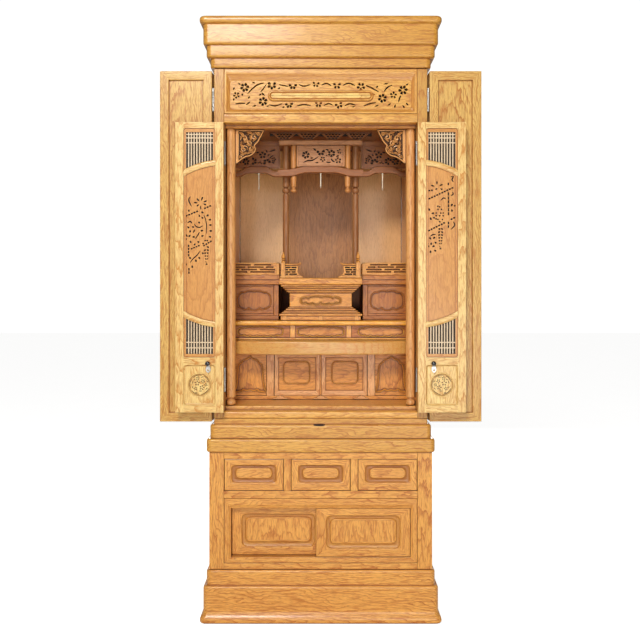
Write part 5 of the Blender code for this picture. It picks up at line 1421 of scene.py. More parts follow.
for side, s in (("left", -1), ("right", 1)):
    P = Piece("side_cabinet_%s_joinery" % side, [CABINET, PLAIN, SHADOW_OAK, CUSP], "case", "side_cabinet_" + side)

    def sp(a, b):
        return sorted((s * a, s * b))
    # Base strip, posts, head strip and the top board with a projecting nosing.
    P.box(*sp(124.0, 261.7), 204.6, 216.0, 805.3, 817.0, "x", 571)
    P.box(*sp(124.0, 138.0), 204.0, 216.0, 817.3, 908.7, "z", 572)
    P.box(*sp(138.3, 261.7), 205.4, 216.0, 817.3, 824.0, "x", 573)
    P.box(*sp(138.3, 261.7), 205.4, 216.0, 903.0, 908.7, "x", 574)
    nose = [(196.0, 911.0), (197.0, 909.4), (199.0, 908.9), (440.0, 908.9), (440.0, 937.0), (199.2, 937.0), (197.4, 936.6), (196.3, 935.2), (196.0, 933.0), (196.0, 924.4), (197.6, 923.8), (197.6, 922.2), (196.0, 921.6)]
    P.prism(nose, *(sp(122.0, 261.7)), "x", 575, 3, 0.0, False, "dz")
    # Pierced front board round a cusped opening, with the back of its hollow set behind.
    face = [(s * 138.3, 824.2), (s * 261.7, 824.2), (s * 261.7, 902.8), (s * 138.3, 902.8)]
    if area(face) < 0:
        face = face[::-1]
    oval = cusped(s * 196.0, 862.0, 94.0, 54.0, ((-1, -0.17, 8.5, 0.10), (-1, 0.17, 8.5, 0.10), (-1, -0.36, 3.0, 0.05), (-1, 0.36, 3.0, 0.05), (1, -0.30, 4.0, 0.07), (1, 0.30, 4.0, 0.07), (1, 0.0, 2.4, 0.07)), 120, 0.6)
    if area(oval) < 0:
        oval = oval[::-1]
    pierced(P, face, [oval], 205.4, 212.4, "x", 576, 0, 0.9)
    incised(P, inset(oval, -2.8), 205.5, 577, 3, 1.3, 1.1)
    P.box(*sp(138.0, 261.7), 212.6, 216.0, 818.0, 908.0, "z", 578, 3)
    # Sides and floor of the hollow behind; the side next to the altar takes the near-black oak as painted shadow.
    P.box(*sp(124.0, 136.0), 216.1, 440.0, 805.3, 908.7, "y", 579, 2)
    P.box(*sp(253.7, 261.7), 216.1, 440.0, 805.3, 908.7, "y", 580, 1)
    P.box(*sp(136.1, 253.6), 216.1, 440.0, 805.3, 818.0, "t", 581, 1)
    P.build(0.8, 2)

    # L-shaped railing with four rows of staggered slots, turning back along its inner side.
    P = Piece("side_railing_" + side, [INNER, BACKING], "case", "side_rail_" + side)
    strip = [(s * 122.0, 937.3), (s * 261.7, 937.3), (s * 261.7, 973.0), (s * 122.0, 973.0)]
    if area(strip) < 0:
        strip = strip[::-1]
    F = Fret(strip, 1.0, 0.8)
    rows = ((967.0, ((146.0, 196.0), (206.0, 254.0))), (960.0, ((139.0, 160.0), (168.0, 214.0), (222.0, 254.0))), (953.0, ((134.0, 178.0), (188.0, 232.0), (240.0, 256.0))), (946.0, ((136.0, 206.0), (216.0, 256.0))))
    for z, spans in rows:
        for a, b in spans:
            a, b = sp(a, b)
            F.cut([(a, z - 2.2), (b, z - 2.2), (b + 0.9, z), (b, z + 2.2), (a, z + 2.2), (a - 0.9, z)])
    pierced(P, strip, F.holes, 197.6, 202.2, "x", 585, 0, 0.5)
    # A mid-brown board behind the slots, painted shade for the view through them.
    P.box(*sp(123.0, 261.0), 202.6, 204.2, 938.0, 972.4, "x", 590, 1)
    P.box(*sp(122.0, 261.7), 197.0, 205.0, 970.6, 973.0, "x", 586)
    P.box(*sp(122.0, 130.0), 197.0, 205.0, 937.3, 973.0, "z", 587)
    # Return along the inner edge: three rails on small posts.
    for z in (938.6, 950.0, 957.4, 971.4):
        P.box(*sp(123.0, 129.0), 205.1, 320.0, z - 1.3, z + 1.3, "y", 588)
    for d in (240.0, 279.0, 316.0):
        P.box(*sp(122.6, 129.4), d - 3.4, d + 3.4, 937.3, 972.6, "z", 589)
    P.build(0.4, 2)

# --- tier and desk ---------------------------------------------------------

P = Piece("tier_joinery", [TIER, PLAIN, CUSP, INNER], "case", "tier")
P.prism([(120.4, 805.0), (118.4, 804.3), (117.3, 802.6), (117.0, 800.6), (117.0, 796.0), (117.6, 794.0), (119.2, 792.5), (121.4, 792.0), (471.7, 792.0), (471.7, 805.0)], -261.7, 261.7, "x", 601, 0, 0.0, True, "dz")
P.prism([(129.4, 755.5), (128.4, 755.1), (128.0, 754.2), (128.0, 751.4), (128.6, 750.3), (152.0, 750.3), (152.0, 755.5)], -261.7, 261.7, "x", 602, 0, 0.0, True, "dz")
P.box(-261.7, 261.7, 151.0, 152.0, 755.6, 791.9, "x", 603, 1)
for k, (c, w, x0, x1) in enumerate(((-173.0, 126.0, -261.7, -87.6), (0.0, 130.0, -73.6, 73.6), (173.0, 126.0, 87.6, 261.7))):
    face = [(x0, 755.6), (x1, 755.6), (x1, 791.9), (x0, 791.9)]
    cusps = [(-1, t, 3.4, 0.05) for t in (-0.38, -0.24, -0.08, 0.08, 0.24, 0.38)] + [(1, t, 2.6, 0.05) for t in (-0.36, -0.18, 0.0, 0.18, 0.36)]
    slot = cusped(c, 773.5, w, 25.0, cusps, 150, 0.5)
    if area(slot) < 0:
        slot = slot[::-1]
    pierced(P, face, [slot], 140.0, 145.4, "x", 604 + k, 2 if k != 1 else 2, 0.8)
    incised(P, inset(slot, -2.2), 140.1, 608 + k, 0, 1.1, 1.0)
    P.box(x0, x1, 145.6, 150.9, 755.7, 791.8, "x", 612 + k, 3)
for x in (-80.6, 80.6):
    P.box(x - 6.9, x + 6.9, 138.4, 150.9, 755.6, 791.9, "z", 616)
P.build(0.5, 2)

P = Piece("desk_top_board", [DESK, DESKTOP], "case", "desk_board")
bow = [(-261.7 + 523.4 * k / 40, 60.0 + 36.0 * abs(-1 + 2 * k / 40) ** 2.4) for k in range(41)]
rows = []
for t, z in ((4.0, 712.5), (2.0, 712.8), (0.7, 713.9), (0.1, 715.8), (0.0, 718.0), (0.0, 731.0), (0.0, 744.2), (0.2, 746.4), (0.9, 748.3), (2.2, 749.6), (4.2, 750.0)):
    rows.append([(x, d + t, z) for x, d in bow] + [(261.7, 300.0, z), (-261.7, 300.0, z)])
P.loft(rows, "x", 621, True, 0, (False, False), (0.0, 0.0, 731.0))
P.put(rows[0], [tuple(range(len(rows[0])))], "t", 622)
# The top face takes the brighter oak as painted light.
P.put(rows[-1], [tuple(range(len(rows[-1])))], "t", 623, False, 1)
P.build(0.0, sharp=50.0)

# --- lower bay -------------------------------------------------------------


def bell_window(cx, w, z0, z1):
    h = z1 - z0
    right = [(0.0, 0.050), (0.09, 0.030), (0.16, 0.030), (0.22, 0.062), (0.27, 0.050), (0.315, 0.012), (0.40, 0.0), (0.50, 0.0), (0.478, 0.045), (0.452, 0.12), (0.43, 0.24), (0.415, 0.40), (0.405, 0.58), (0.395, 0.70),
             (0.378, 0.755), (0.345, 0.795), (0.30, 0.815), (0.265, 0.835), (0.245, 0.880), (0.215, 0.912), (0.165, 0.925), (0.11, 0.932), (0.07, 0.950), (0.03, 0.982), (0.0, 1.0)]
    pts = [(cx + u * w, z0 + v * h) for u, v in right] + [(cx - u * w, z0 + v * h) for u, v in reversed(right[1:-1])]
    return pts if area(pts) > 0 else pts[::-1]


P = Piece("lower_bay_joinery", [INNER, HALL, COLUMN], "case", "lower_bay_front")
for s in (-1, 1):
    a, b = sorted((s * 157.0, s * 261.7))
    face = [(a, 586.0), (b, 586.0), (b, 712.2), (a, 712.2)]
    win = bell_window(s * 205.0, 84.0, 600.0, 696.0)
    pierced(P, face, [win], 173.0, 185.0, "x", 631 + s, 0, 1.0)
    incised(P, inset(win, -3.6), 173.1, 634, 0, 1.5, 1.5)
    P.box(a, b, 185.2, 193.0, 586.0, 712.2, "z", 636 + s, 0)
    # Square posts beside the windows.
    P.box(*sorted((s * 136.0, s * 156.6)), 169.6 + 1.4, 192.0, 586.0, 712.2, "z", 641 + s, 2)
    # Framed panel with a raised rounded line.
    x0, x1 = sorted((s * 2.4, s * 134.4))
    uneven(P, (x0, x1, 586.0, 712.2), (s * 68.4 - 54.5, s * 68.4 + 54.5, 601.0, 697.0), [(0.0, 192.0, 0.0), (0.0, 172.0, 0.0), (0.06, 171.0, 0.0), (0.80, 171.0, 0.5), (0.94, 171.6, 0.8), (1.0, 173.0, 1.0), (1.0, 175.2, 1.0)], 651 + 10 * s, 192.0, 2)
    P.box(s * 68.4 - 54.6, s * 68.4 + 54.6, 175.1, 180.0, 600.9, 697.1, "x", 661 + s)
    incised(P, rrect(*sorted((s * 32.5, s * 108.0)), 620.7, 684.5, 13.0, 8), 175.2, 665, 0, 1.5, 1.6)
P.box(-261.7, 261.7, 171.0, 193.0, 574.8, 585.8, "x", 671)
P.box(-2.2, 2.2, 172.0, 192.0, 586.0, 712.2, "z", 672)
# Small cloud-shaped feet in the base strip.
for x in (-118.0, 0.0, 118.0):
    foot = smooth_loop([(x - 24.0, 575.0), (x + 24.0, 575.0), (x + 19.0, 579.4), (x + 11.0, 579.6), (x + 9.0, 584.4), (x + 3.0, 585.0), (x, 588.6), (x - 3.0, 585.0), (x - 9.0, 584.4), (x - 11.0, 579.6), (x - 19.0, 579.4)], 2)
    P.prism(foot, 168.2, 171.2, "x", 675, 2, 1.2)
P.build(0.5, 2)


# --- outer folding doors -----------------------------------------------------

def panel_leaf(name, node, body, x0, x1, d0, d1, z0, z1, seed, border=24.0, sink=6.0):
    """A leaf with a mitred frame and a sunk panel on both faces."""
    P = Piece(name, [OUTER], body, node, "door_wood")
    front = [(border + 0.9, d0 + sink, 0.8), (border + 0.6, d0 + sink - 1.6, 0.8), (border + 0.2, d0 + 1.5, 0.8), (border - 0.5, d0 + 0.5, 0.8), (border - 1.4, d0 + 0.05, 0.6), (1.8, d0, 1.2), (0.8, d0 + 0.25, 1.4), (0.2, d0 + 0.9, 1.5), (0.0, d0 + 1.9, 1.5)]
    back = [(t, d1 - (d - d0), r) for t, d, r in reversed(front)]
    rows = front + back
    loops = [[(x, d, z) for x, z in rrect(x0 + t, x1 - t, z0 + t, z1 - t, r, 2)] for t, d, r in rows]
    P.loft(loops, mitre(x0, x1, z0, z1, seed), seed, True, 0, (False, False), None)
    mid = ((x0 + x1) / 2, 0.0, (z0 + z1) / 2)
    P.put(loops[0], [tuple(range(len(loops[0])))], "z", seed + 8, False, 0, mid)
    P.put(loops[-1], [tuple(range(len(loops[-1])))], "z", seed + 9, False, 0, mid)
    return P.build(0.0, sharp=48.0)


for side, s in (("left", -1), ("right", 1)):
    panel_leaf("outer_near_leaf_" + side, "outer_leaf_%s_near" % side, "outer_near_" + side, *sorted((s * 295.2, s * 436.2)), 1.0, 25.0, 536.0, 1487.0, 701 + 40 * (s > 0))
    panel_leaf("outer_far_leaf_" + side, "outer_leaf_%s_far" % side, "outer_far_" + side, *sorted((s * 294.0, s * 436.2)), 26.0, 50.0, 536.0, 1487.0, 721 + 40 * (s > 0))

# --- inner latticed doors ----------------------------------------------------

MOON_Z = 1017.0


def arc_pts(reach, xa, xb, radius, upper, n=18):
    """Points of the round window's line across a leaf, from xa to xb. reach gives how far from the cabinet's middle a point comes when the doors are shut."""
    out = []
    for k in range(n + 1):
        x = xa + (xb - xa) * k / n
        c = reach(x)
        if c > radius:
            c = radius
        h = math.sqrt(radius * radius - c * c)
        out.append((x, MOON_Z + h if upper else MOON_Z - h))
    return out


def mortised(P, corners, notch, z0, z1, seats, seed):
    """An upright stile whose third corner is cut back at the seats, to leave room for the hinge barrels that stand on that corner."""
    v = [(x, d, z) for z in (z0, z1) for x, d in corners]
    side, back = [1, 2], [2]
    f = [(0, 1, 2, 3), (4, 5, 6, 7), (0, 1, 5, 4), (3, 0, 4, 7)]
    for a, b in seats:
        n = len(v)
        v += [(x, d, z) for z in (a, b) for x, d in [corners[2]] + notch]
        side += [n, n + 1, n + 5, n + 4]
        back += [n, n + 3, n + 7, n + 4]
        f += [(n, n + 1, n + 2, n + 3), (n + 4, n + 5, n + 6, n + 7), (n + 1, n + 2, n + 6, n + 5), (n + 2, n + 3, n + 7, n + 6)]
    f += [tuple(side + [6, 5]), tuple(back + [6, 7, 3])]
    base = P.put(v, f, "z", seed, False, 0, (sum(c[0] for c in corners) / 4, corners[0][1], (z0 + z1) / 2))
    P.apart.update(range(base, len(P.verts)))
    P.boards.update((i, 18.0 if i < base + 8 else 1.2) for i in range(base, len(P.verts)))


def lattice_leaf(name, node, body, s, span, df, sg, reach, design, seed):
    """An inner door leaf: frame, part of the round window's rim, slatted fields above and below it, and a solid panel inside it.
    df is the depth of its better face and sg the way into the wood. reach is the closed distance from the middle."""
    P = Piece(name, [DOOR, PANEL, SLAT, DARK, HALL], body, node, "door_wood")
    lo, hi = span              # distances from the middle, as the leaf stands open
    fa, fb = lo + 20.95, hi - 21.4

    def D(h):
        return df + sg * h

    def X(a):
        return s * a

    def bx(a, b, h0, h1, z0, z1, axis, sd, mat=0):
        x0, x1 = sorted((X(a), X(b)))
        d0, d1 = sorted((D(h0), D(h1)))
        P.box(x0, x1, d0, d1, z0, z1, axis, sd, mat)

    # Stiles and rails, each with its own grain, full thickness.
    bx(lo, fa, 0.0, 18.0, 566.0, 1341.0, "z", seed + 1)
    mortised(P, [(X(a), D(h)) for a, h in ((fb, 0.0), (hi, 0.0), (hi, 18.0), (fb, 18.0))], [(X(hi), D(16.3)), (X(hi - 1.7), D(16.3)), (X(hi - 1.7), D(18.0))], 566.0, 1341.0,
             ((613.8, 677.7), (1226.8, 1293.2)), seed + 2)
    bx(fa, fb, 0.0, 18.0, 1325.0, 1341.0, "x", seed + 3)
    bx(fa, fb, 0.0, 18.0, 693.5, 713.0, "x", seed + 4)
    bx(fa, fb, 0.0, 18.0, 566.0, 585.0, "x", seed + 5)
    # Lining strips round the slats, a little lower than the frame, in the darker panel oak as painted shade.
    bx(fa, fa + 6.0, 2.8, 16.0, 713.2, 1324.8, "z", seed + 6, 1)
    bx(fb - 6.0, fb, 2.8, 16.0, 713.2, 1324.8, "z", seed + 7, 1)
    bx(fa + 6.1, fb - 6.1, 2.8, 16.0, 1315.0, 1324.8, "x", seed + 8, 1)
    bx(fa + 6.1, fb - 6.1, 2.8, 16.0, 713.2, 722.0, "x", seed + 9, 1)
    # Rounded corners at the frame's inner edges.
    for a, z, qa, qz in ((fa, 1325.0, 1, -1), (fb, 1325.0, -1, -1), (fa, 713.0, 1, 1), (fb, 713.0, -1, 1)):
        r = 7.0
        pts = [(X(a), z)] + [(X(a + qa * (r - r * math.sin(PI / 2 * k / 6))), z + qz * (r - r * math.cos(PI / 2 * k / 6))) for k in range(7)]
        P.prism(pts, D(0.5), D(6.0), "z", seed + 10, 0, 0.4)
    # Rim of the round window and the panel inside it.
    xa, xb = X(fa + 0.02), X(fb - 0.02)
    inside_pts = {}
    for upper in (True, False):
        outer = arc_pts(reach, xa, xb, 225.0, upper)
        inner = arc_pts(reach, xa, xb, 210.0, upper)
        sign = 1 if upper else -1
        loops = []
        for (x, zo), (_, zi) in zip(outer, inner):
            w = zo - zi
            if abs(w) < 0.4:
                continue
            loops.append([(x, D(17.0), zi), (x, D(2.6), zi), (x, D(1.4), zi + 0.10 * w), (x, D(0.7), zi + 0.24 * w), (x, D(0.5), zi + 0.4 * w), (x, D(0.5), zi + 0.6 * w),
                          (x, D(0.7), zi + 0.76 * w), (x, D(1.4), zi + 0.90 * w), (x, D(2.6), zo), (x, D(17.0), zo)])
        base = len(P.verts)
        P.loft(loops, "x", seed + 11 + (sign > 0), True, 0, (True, True), (0.0, 0.0, MOON_Z + sign * 190.0))
        P.apart.update(range(base, len(P.verts)))
        inside_pts[upper] = inner
    region = inside_pts[False] + inside_pts[True][::-1]
    if any(reach(x) >= 210.0 for x in (xa, xb)):
        region = [p for i, p in enumerate(region) if reach(p[0]) < 209.6]
    if area(region) < 0:
        region = region[::-1]
    F = Fret(region, 1.2, 0.4)
    F.fat = 1.75
    design(F, s)
    P2 = Piece(name + "_moon_panel", [PANEL, DARK, HALL], body, (), "door_wood")
    pierced(P2, region, F.holes, D(5.2), D(8.2), "z", seed + 13, 0, 0.15 if sg > 0 else 0.0)
    # Dark net behind the piercings and the slats, painted shadow, and a plain panel on the leaf's other face.
    x0, x1 = sorted((X(fa + 0.5), X(fb - 0.5)))
    d0, d1 = sorted((D(8.6), D(9.2)))
    P2.box(x0, x1, d0, d1, 713.2, 1324.8, "z", seed + 14, 1)
    d0, d1 = sorted((D(12.6), D(15.2)))
    P2.box(x0, x1, d0, d1, 713.2, 1324.8, "z", seed + 15, 2)
    P2.build(0.0)
    # Slats: ten dark slots, with cross bars near the outer ends.
    lo_x, hi_x = fa + 6.0, fb - 6.0
    pitch = (hi_x - lo_x) / 10.0
    for k in range(0, 11):
        a = lo_x + pitch * k
        w = 1.75 if 0 < k < 10 else 1.1
        c = reach(X(a))
        h = math.sqrt(max(0.0, 222.0 ** 2 - c * c)) if c < 222.0 else 0.0
        if h > 0:
            bx(max(lo_x, a - w), min(hi_x, a + w), 4.2, 7.6, MOON_Z + h, 1315.2, "z", seed + 16 + k % 3, 2)
            bx(max(lo_x, a - w), min(hi_x, a + w), 4.2, 7.6, 721.8, MOON_Z - h, "z", seed + 16 + k % 3, 2)
        else:
            bx(max(lo_x, a - w), min(hi_x, a + w), 4.2, 7.6, 721.8, 1315.2, "z", seed + 16 + k % 3, 2)
    for z in (1308.6, 1299.4, 1286.2, 753.0, 738.4):
        bx(lo_x, hi_x, 3.9, 7.4, z - 1.4, z + 1.4, "x", seed + 19, 2)
    ob = P.build(0.5, 2)

    # Lower panel: sunk, with rounded corners and a carved round medallion.
    P3 = Piece(name + "_lower_panel", [DOOR, DARK, HALL], body, (), "door_wood")
    x0, x1 = sorted((X(fa), X(fb)))
    cx, cz = (x0 + x1) / 2, 639.6
    rect = rrect(x0, x1, 585.0, 693.5, 8.0, 6)
    rows = []
    for t, h in ((-0.05, 0.0), (0.0, 0.9), (0.6, 2.8), (1.8, 4.2), (3.2, 5.0), (4.6, 5.2)):
        rows.append([(x, D(h), z) for x, z in inset(rect, t)])
    P3.loft(rows, mitre(x0, x1, 585.0, 693.5, seed + 20), seed + 20, True, 0, (False, False), None)
    # Spandrels that fill the square corners of the frame.
    for qx, qz in ((x0, 585.0), (x1, 585.0), (x0, 693.5), (x1, 693.5)):
        ax, az = (1 if qx == x0 else -1), (1 if qz == 585.0 else -1)
        pts = [(qx, qz)] + [(qx + ax * (8.0 - 8.0 * math.sin(PI / 2 * k / 6)), qz + az * (8.0 - 8.0 * math.cos(PI / 2 * k / 6))) for k in range(7)]
        P3.prism(pts, D(0.15), D(6.0), "x", seed + 25, 0, 0.0)
    field = inset(rect, 4.6)
    F = Fret(field, 2.0, 0.7)
    R = 31.0
    for a0, a1 in ((0.25, 1.15), (1.35, 2.3), (2.55, 3.5), (3.75, 4.6), (4.85, 5.9)):
        F.stroke([(cx + R * 0.84 * math.cos(a0 + (a1 - a0) * k / 4), cz + R * 0.84 * math.sin(a0 + (a1 - a0) * k / 4)) for k in range(5)], 1.6)
    for x, z, r, n, t in ((-6.5, 4.5, 7.4, 5, 0.3), (9.0, 9.5, 5.6, 5, 0.9), (6.5, -7.5, 6.6, 5, 0.1), (-11.0, -10.0, 5.2, 5, 0.5), (-5.0, 17.5, 4.8, 5, 0.2), (17.0, 0.0, 4.4, 5, 0.6)):
        F.blossom(cx - s * x, cz + z, r, n, t)
    for x, z, a, l in ((-20.0, 3.0, 1.2, 7.0), (-17.0, 12.0, 0.6, 6.5), (3.0, 20.0, 0.2, 7.0), (18.0, 12.0, -0.9, 7.0), (-2.0, -17.0, 0.1, 8.0), (16.0, -13.0, 0.8, 7.0), (-20.0, -3.5, -1.2, 6.0), (-12.0, -20.0, -0.4, 7.0)):
        F.petal(cx - s * x, cz + z, a if s < 0 else PI - a, l, 2.6)
    pierced(P3, field, F.holes, D(5.2), D(7.2), "z", seed + 27, 0, 0.4 if sg > 0 else 0.0)
    d0, d1 = sorted((D(7.4), D(9.4)))
    P3.box(x0 + 5, x1 - 5, d0, d1, 590.0, 688.5, "z", seed + 28, 0)
    d0, d1 = sorted((D(12.6), D(15.2)))
    P3.box(x0 + 0.5, x1 - 0.5, d0, d1, 585.2, 693.3, "z", seed + 29, 2)
    circle = [(cx + R * math.cos(2 * PI * k / 56), cz + R * math.sin(2 * PI * k / 56)) for k in range(56)]
    for t, wide in ((0.0, 1.5), (3.0, 0.8)):
        rws = []
        for u, h in ((-wide, 0.02), (-wide * 0.6, -0.9), (0.0, -1.25), (wide * 0.6, -0.9), (wide, 0.02)):
            rws.append([(x, D(5.2 + h), z) for x, z in inset(circle, t + u)])
        base = len(P3.verts)
        P3.loft(rws, "z", seed + 30, True, 0, (False, False), None)
        P3.loft([rws[-1], rws[0]], "z", seed + 30, True, 0, (False, False), None)
        P3.apart.update(range(base, len(P3.verts)))
    P3.build(0.0)
    return ob


def wisteria(F, tip, top, drop, lean=0.0):
    """A hanging cluster of small petals that narrows to its tip: pairs of drops down both sides of a stem."""
    x, z = top
    rows = int(drop / 6.9)
    for k in range(rows):
        t = k / max(1, rows - 1)
        w = (9.0 * (1 - t) + 2.2) * min(1.0, 0.45 + 1.6 * t if t < 0.35 else 1.0)
        zz = z - drop * t
        xx = x + lean * t
        for side in (-1, 1):
            F.petal(xx + side * 0.7, zz, -PI / 2 + side * 0.95, min(w * 0.95, 8.0), 3.3)
            if w > 5.0:
                F.petal(xx + side * (w * 0.86 + 0.6), zz + 1.6, -PI / 2 + side * 0.6, 6.2, 3.2)
    F.petal(x + lean, z - drop - 3.4, -PI / 2, 5.6, 3.2)


def trellis_left(F, s):
    """Flowers on a dashed bamboo trellis, with clusters that hang from it."""
    def q(x, y):
        return px(x, y, -33.0)

    def stroke(pts, w):
        F.stroke([q(x, y) for x, y in pts], w)
    for x, y, a, l in ((199.4, 201.4, 2.3, 8.5), (201.2, 200.8, 1.2, 9.0), (203.2, 202.2, 0.4, 8.5), (197.6, 203.0, 3.0, 8.0), (203.0, 203.6, -0.4, 7.5), (199.0, 204.2, -2.4, 6.5)):
        F.petal(*q(x, y), a, l * 1.25, 2.9)
    stroke([(190.4, 196.4), (188.8, 199.6), (189.8, 203.0), (191.6, 206.6)], 2.1)
    stroke([(200.8, 205.6), (200.6, 207.6), (201.0, 209.6)], 1.7)
    F.dashes(q(185.6, 216.2), q(212.6, 205.0), 2.5, 5.6, 2.0)
    F.dashes(q(188.8, 209.6), q(188.8, 213.2), 2.4, 5.4, 1.6)
    F.dashes(q(188.9, 215.6), q(188.9, 219.0), 2.4, 5.4, 1.6)
    F.dashes(q(203.2, 246.0), q(212.8, 240.2), 2.4, 5.2, 1.9)
    F.dashes(q(190.8, 249.0), q(201.6, 244.6), 2.2, 5.0, 1.9)
    F.dashes(q(188.6, 244.6), q(188.6, 258.6), 2.3, 6.4, 1.9)
    F.dashes(q(188.9, 268.2), q(188.9, 274.4), 2.3, 6.4, 1.9)
    stroke([(187.4, 223.0), (190.2, 221.4), (192.0, 223.4)], 2.2)
    for x, y, a, l in ((187.2, 226.4, -0.7, 6.0), (190.4, 225.4, -1.6, 6.5), (186.0, 222.4, 2.0, 5.6), (191.8, 226.6, -0.3, 5.2), (190.4, 234.6, -2.2, 6.5), (187.6, 236.6, 2.4, 6.0), (187.2, 238.8, 3.4, 6.0), (190.0, 240.4, -1.2, 6.2), (192.2, 237.2, 0.2, 6.0), (189.6, 232.6, 1.2, 5.6)):
        F.petal(*q(x, y), a, l * 1.2, 3.5)
    stroke([(194.2, 223.6), (196.0, 226.4), (199.6, 227.4), (202.8, 225.6)], 1.9)
    stroke([(194.8, 229.4), (193.2, 233.0)], 2.6)
    stroke([(199.6, 232.0), (197.6, 235.4), (195.2, 239.0)], 1.9)
    for x, y, a, l in ((198.8, 214.4, -1.2, 6.0), (201.4, 216.6, -0.9, 6.0), (200.0, 223.4, 2.4, 5.0), (197.2, 241.2, -0.6, 5.6), (199.4, 242.0, 0.4, 5.0), (195.4, 243.4, -2.2, 5.4)):
        F.petal(*q(x, y), a, l * 1.2, 3.4)
    stroke([(203.6, 214.6), (205.6, 219.6), (206.6, 226.6), (206.0, 234.8)], 1.6)
    for x, y, a in ((203.8, 213.2, 2.6), (206.2, 216.2, 0.5), (208.4, 220.0, 0.2), (203.2, 219.4, 2.9), (208.8, 225.2, 0.1), (203.0, 225.8, 3.2), (209.2, 230.8, -0.1), (203.4, 230.4, 3.3), (208.6, 236.2, -0.4), (203.8, 235.4, 3.5)):
        F.petal(*q(x, y), a, 7.6, 3.6)
    wisteria(F, None, q(206.2, 240.0), 58.0, 1.0)
    stroke([(190.2, 262.6), (193.0, 258.8), (197.2, 255.0), (200.2, 250.8)], 1.9)
    for x, y, a, l in ((195.0, 259.4, -1.0, 6.4), (191.2, 259.0, 2.4, 6.0), (198.4, 256.8, -0.9, 5.8), (201.8, 252.4, -0.7, 5.2), (187.0, 263.8, -2.6, 5.6), (192.0, 265.2, -1.4, 6.2), (185.8, 254.0, 2.8, 4.8)):
        F.petal(*q(x, y), a, l * 1.2, 3.5)


def trellis_right(F, s):
    def q(x, y):
        return px(x, y, -33.0)

    def stroke(pts, w):
        F.stroke([q(x, y) for x, y in pts], w)
    stroke([(450.6, 177.0), (453.2, 176.4), (452.0, 179.6), (453.6, 182.0)], 2.2)
    for x, y, a, l in ((437.0, 184.8, 1.6, 8.0), (439.4, 186.0, 0.5, 8.0), (434.6, 186.4, 2.8, 8.0), (437.4, 188.0, 3.9, 5.6), (440.2, 188.4, -0.5, 5.6)):
        F.petal(*q(x, y), a, l * 1.25, 2.9)
    F.dashes(q(428.4, 190.6), q(443.4, 189.4), 2.4, 5.2, 1.9)
    F.dashes(q(428.6, 199.0), q(455.6, 186.4), 2.5, 5.6, 1.9)
    F.dashes(q(448.4, 182.6), q(448.4, 188.4), 2.3, 7.0, 1.9)
    F.dashes(q(448.5, 192.4), q(448.5, 216.0), 2.3, 8.6, 1.9)
    F.dashes(q(448.5, 221.6), q(448.5, 230.6), 2.3, 7.4, 1.9)
    F.dashes(q(428.2, 231.0), q(455.4, 217.2), 2.5, 5.6, 1.9)
    stroke([(453.4, 221.6), (454.6, 225.4), (450.8, 229.6)], 2.0)
    stroke([(452.6, 191.6), (453.0, 194.4), (450.8, 195.6)], 2.0)
    stroke([(440.6, 200.6), (443.6, 198.0), (446.0, 199.0)], 2.0)
    for x, y, a, l in ((451.0, 206.6, 1.1, 7.4), (453.6, 206.0, 0.1, 6.4), (451.6, 209.0, -1.3, 6.2), (429.6, 211.0, 1.8, 6.0), (431.4, 213.8, 0.3, 6.6), (430.2, 217.2, -1.2, 6.4), (428.4, 214.2, 3.0, 4.8), (432.8, 217.2, -0.4, 5.4)):
        F.petal(*q(x, y), a, l * 1.2, 3.6)
    # A broad cluster, and below it a long one that narrows to its tip.
    for r, (y, w) in enumerate(((205.6, 1), (208.6, 2), (211.8, 3), (215.0, 3), (218.2, 2), (221.0, 1))):
        for k in range(w):
            F.petal(*q(439.4 + (k - (w - 1) / 2) * 3.5 - 0.6, y), -PI / 2 + (0.9 if r % 2 else -0.9), 5.6, 3.0)
            F.petal(*q(439.4 + (k - (w - 1) / 2) * 3.5 + 0.9, y + 0.4), -PI / 2 + (0.5 if k % 2 else -0.6), 4.8, 2.8)
    wisteria(F, None, q(440.8, 225.2), 56.0, -1.0)
    stroke([(430.0, 236.4), (433.0, 234.6), (436.0, 234.4)], 1.9)
    for x, y, a, l in ((431.2, 239.6, 2.2, 6.4), (433.0, 238.8, 0.7, 6.6), (431.6, 242.2, -1.8, 6.4), (434.4, 241.8, -0.6, 6.0), (429.4, 247.2, 2.4, 6.2), (432.2, 247.0, 0.5, 6.4), (430.6, 250.2, -1.6, 6.4), (434.0, 250.0, -0.5, 5.8), (428.8, 243.8, 3.2, 4.6)):
        F.petal(*q(x, y), a, l * 1.2, 3.6)


def trellis_near(F, s):
    """The near leaf carries a single hanging cluster beside a dashed cane."""
    x = s * 360.0
    F.dashes((x, 1100.0), (x, 940.0), 2.3, 7.6, 2.0)
    F.dashes((x - 12.0, 1074.0), (x + 10.0, 1084.0), 2.3, 5.4, 2.0)
    wisteria(F, None, (s * 352.0, 1062.0), 60.0, 0.0)
    wisteria(F, None, (s * 340.0, 1010.0), 30.0, 0.0)


for side, s in (("left", -1), ("right", 1)):
    lattice_leaf("inner_far_leaf_" + side, "inner_leaf_%s_far" % side, "inner_far_" + side, s, (260.05, 387.7), -38.0, 1, lambda x: abs(abs(x) - 257.3),
                 trellis_left if s < 0 else trellis_right, 801 + 60 * (s > 0))
    lattice_leaf("inner_near_leaf_" + side, "inner_leaf_%s_near" % side, "inner_near_" + side, s, (262.0, 388.0), -1.0, -1, lambda x: 520.0 - abs(x),
                 trellis_near, 931 + 60 * (s > 0))

# --- small metal -------------------------------------------------------------


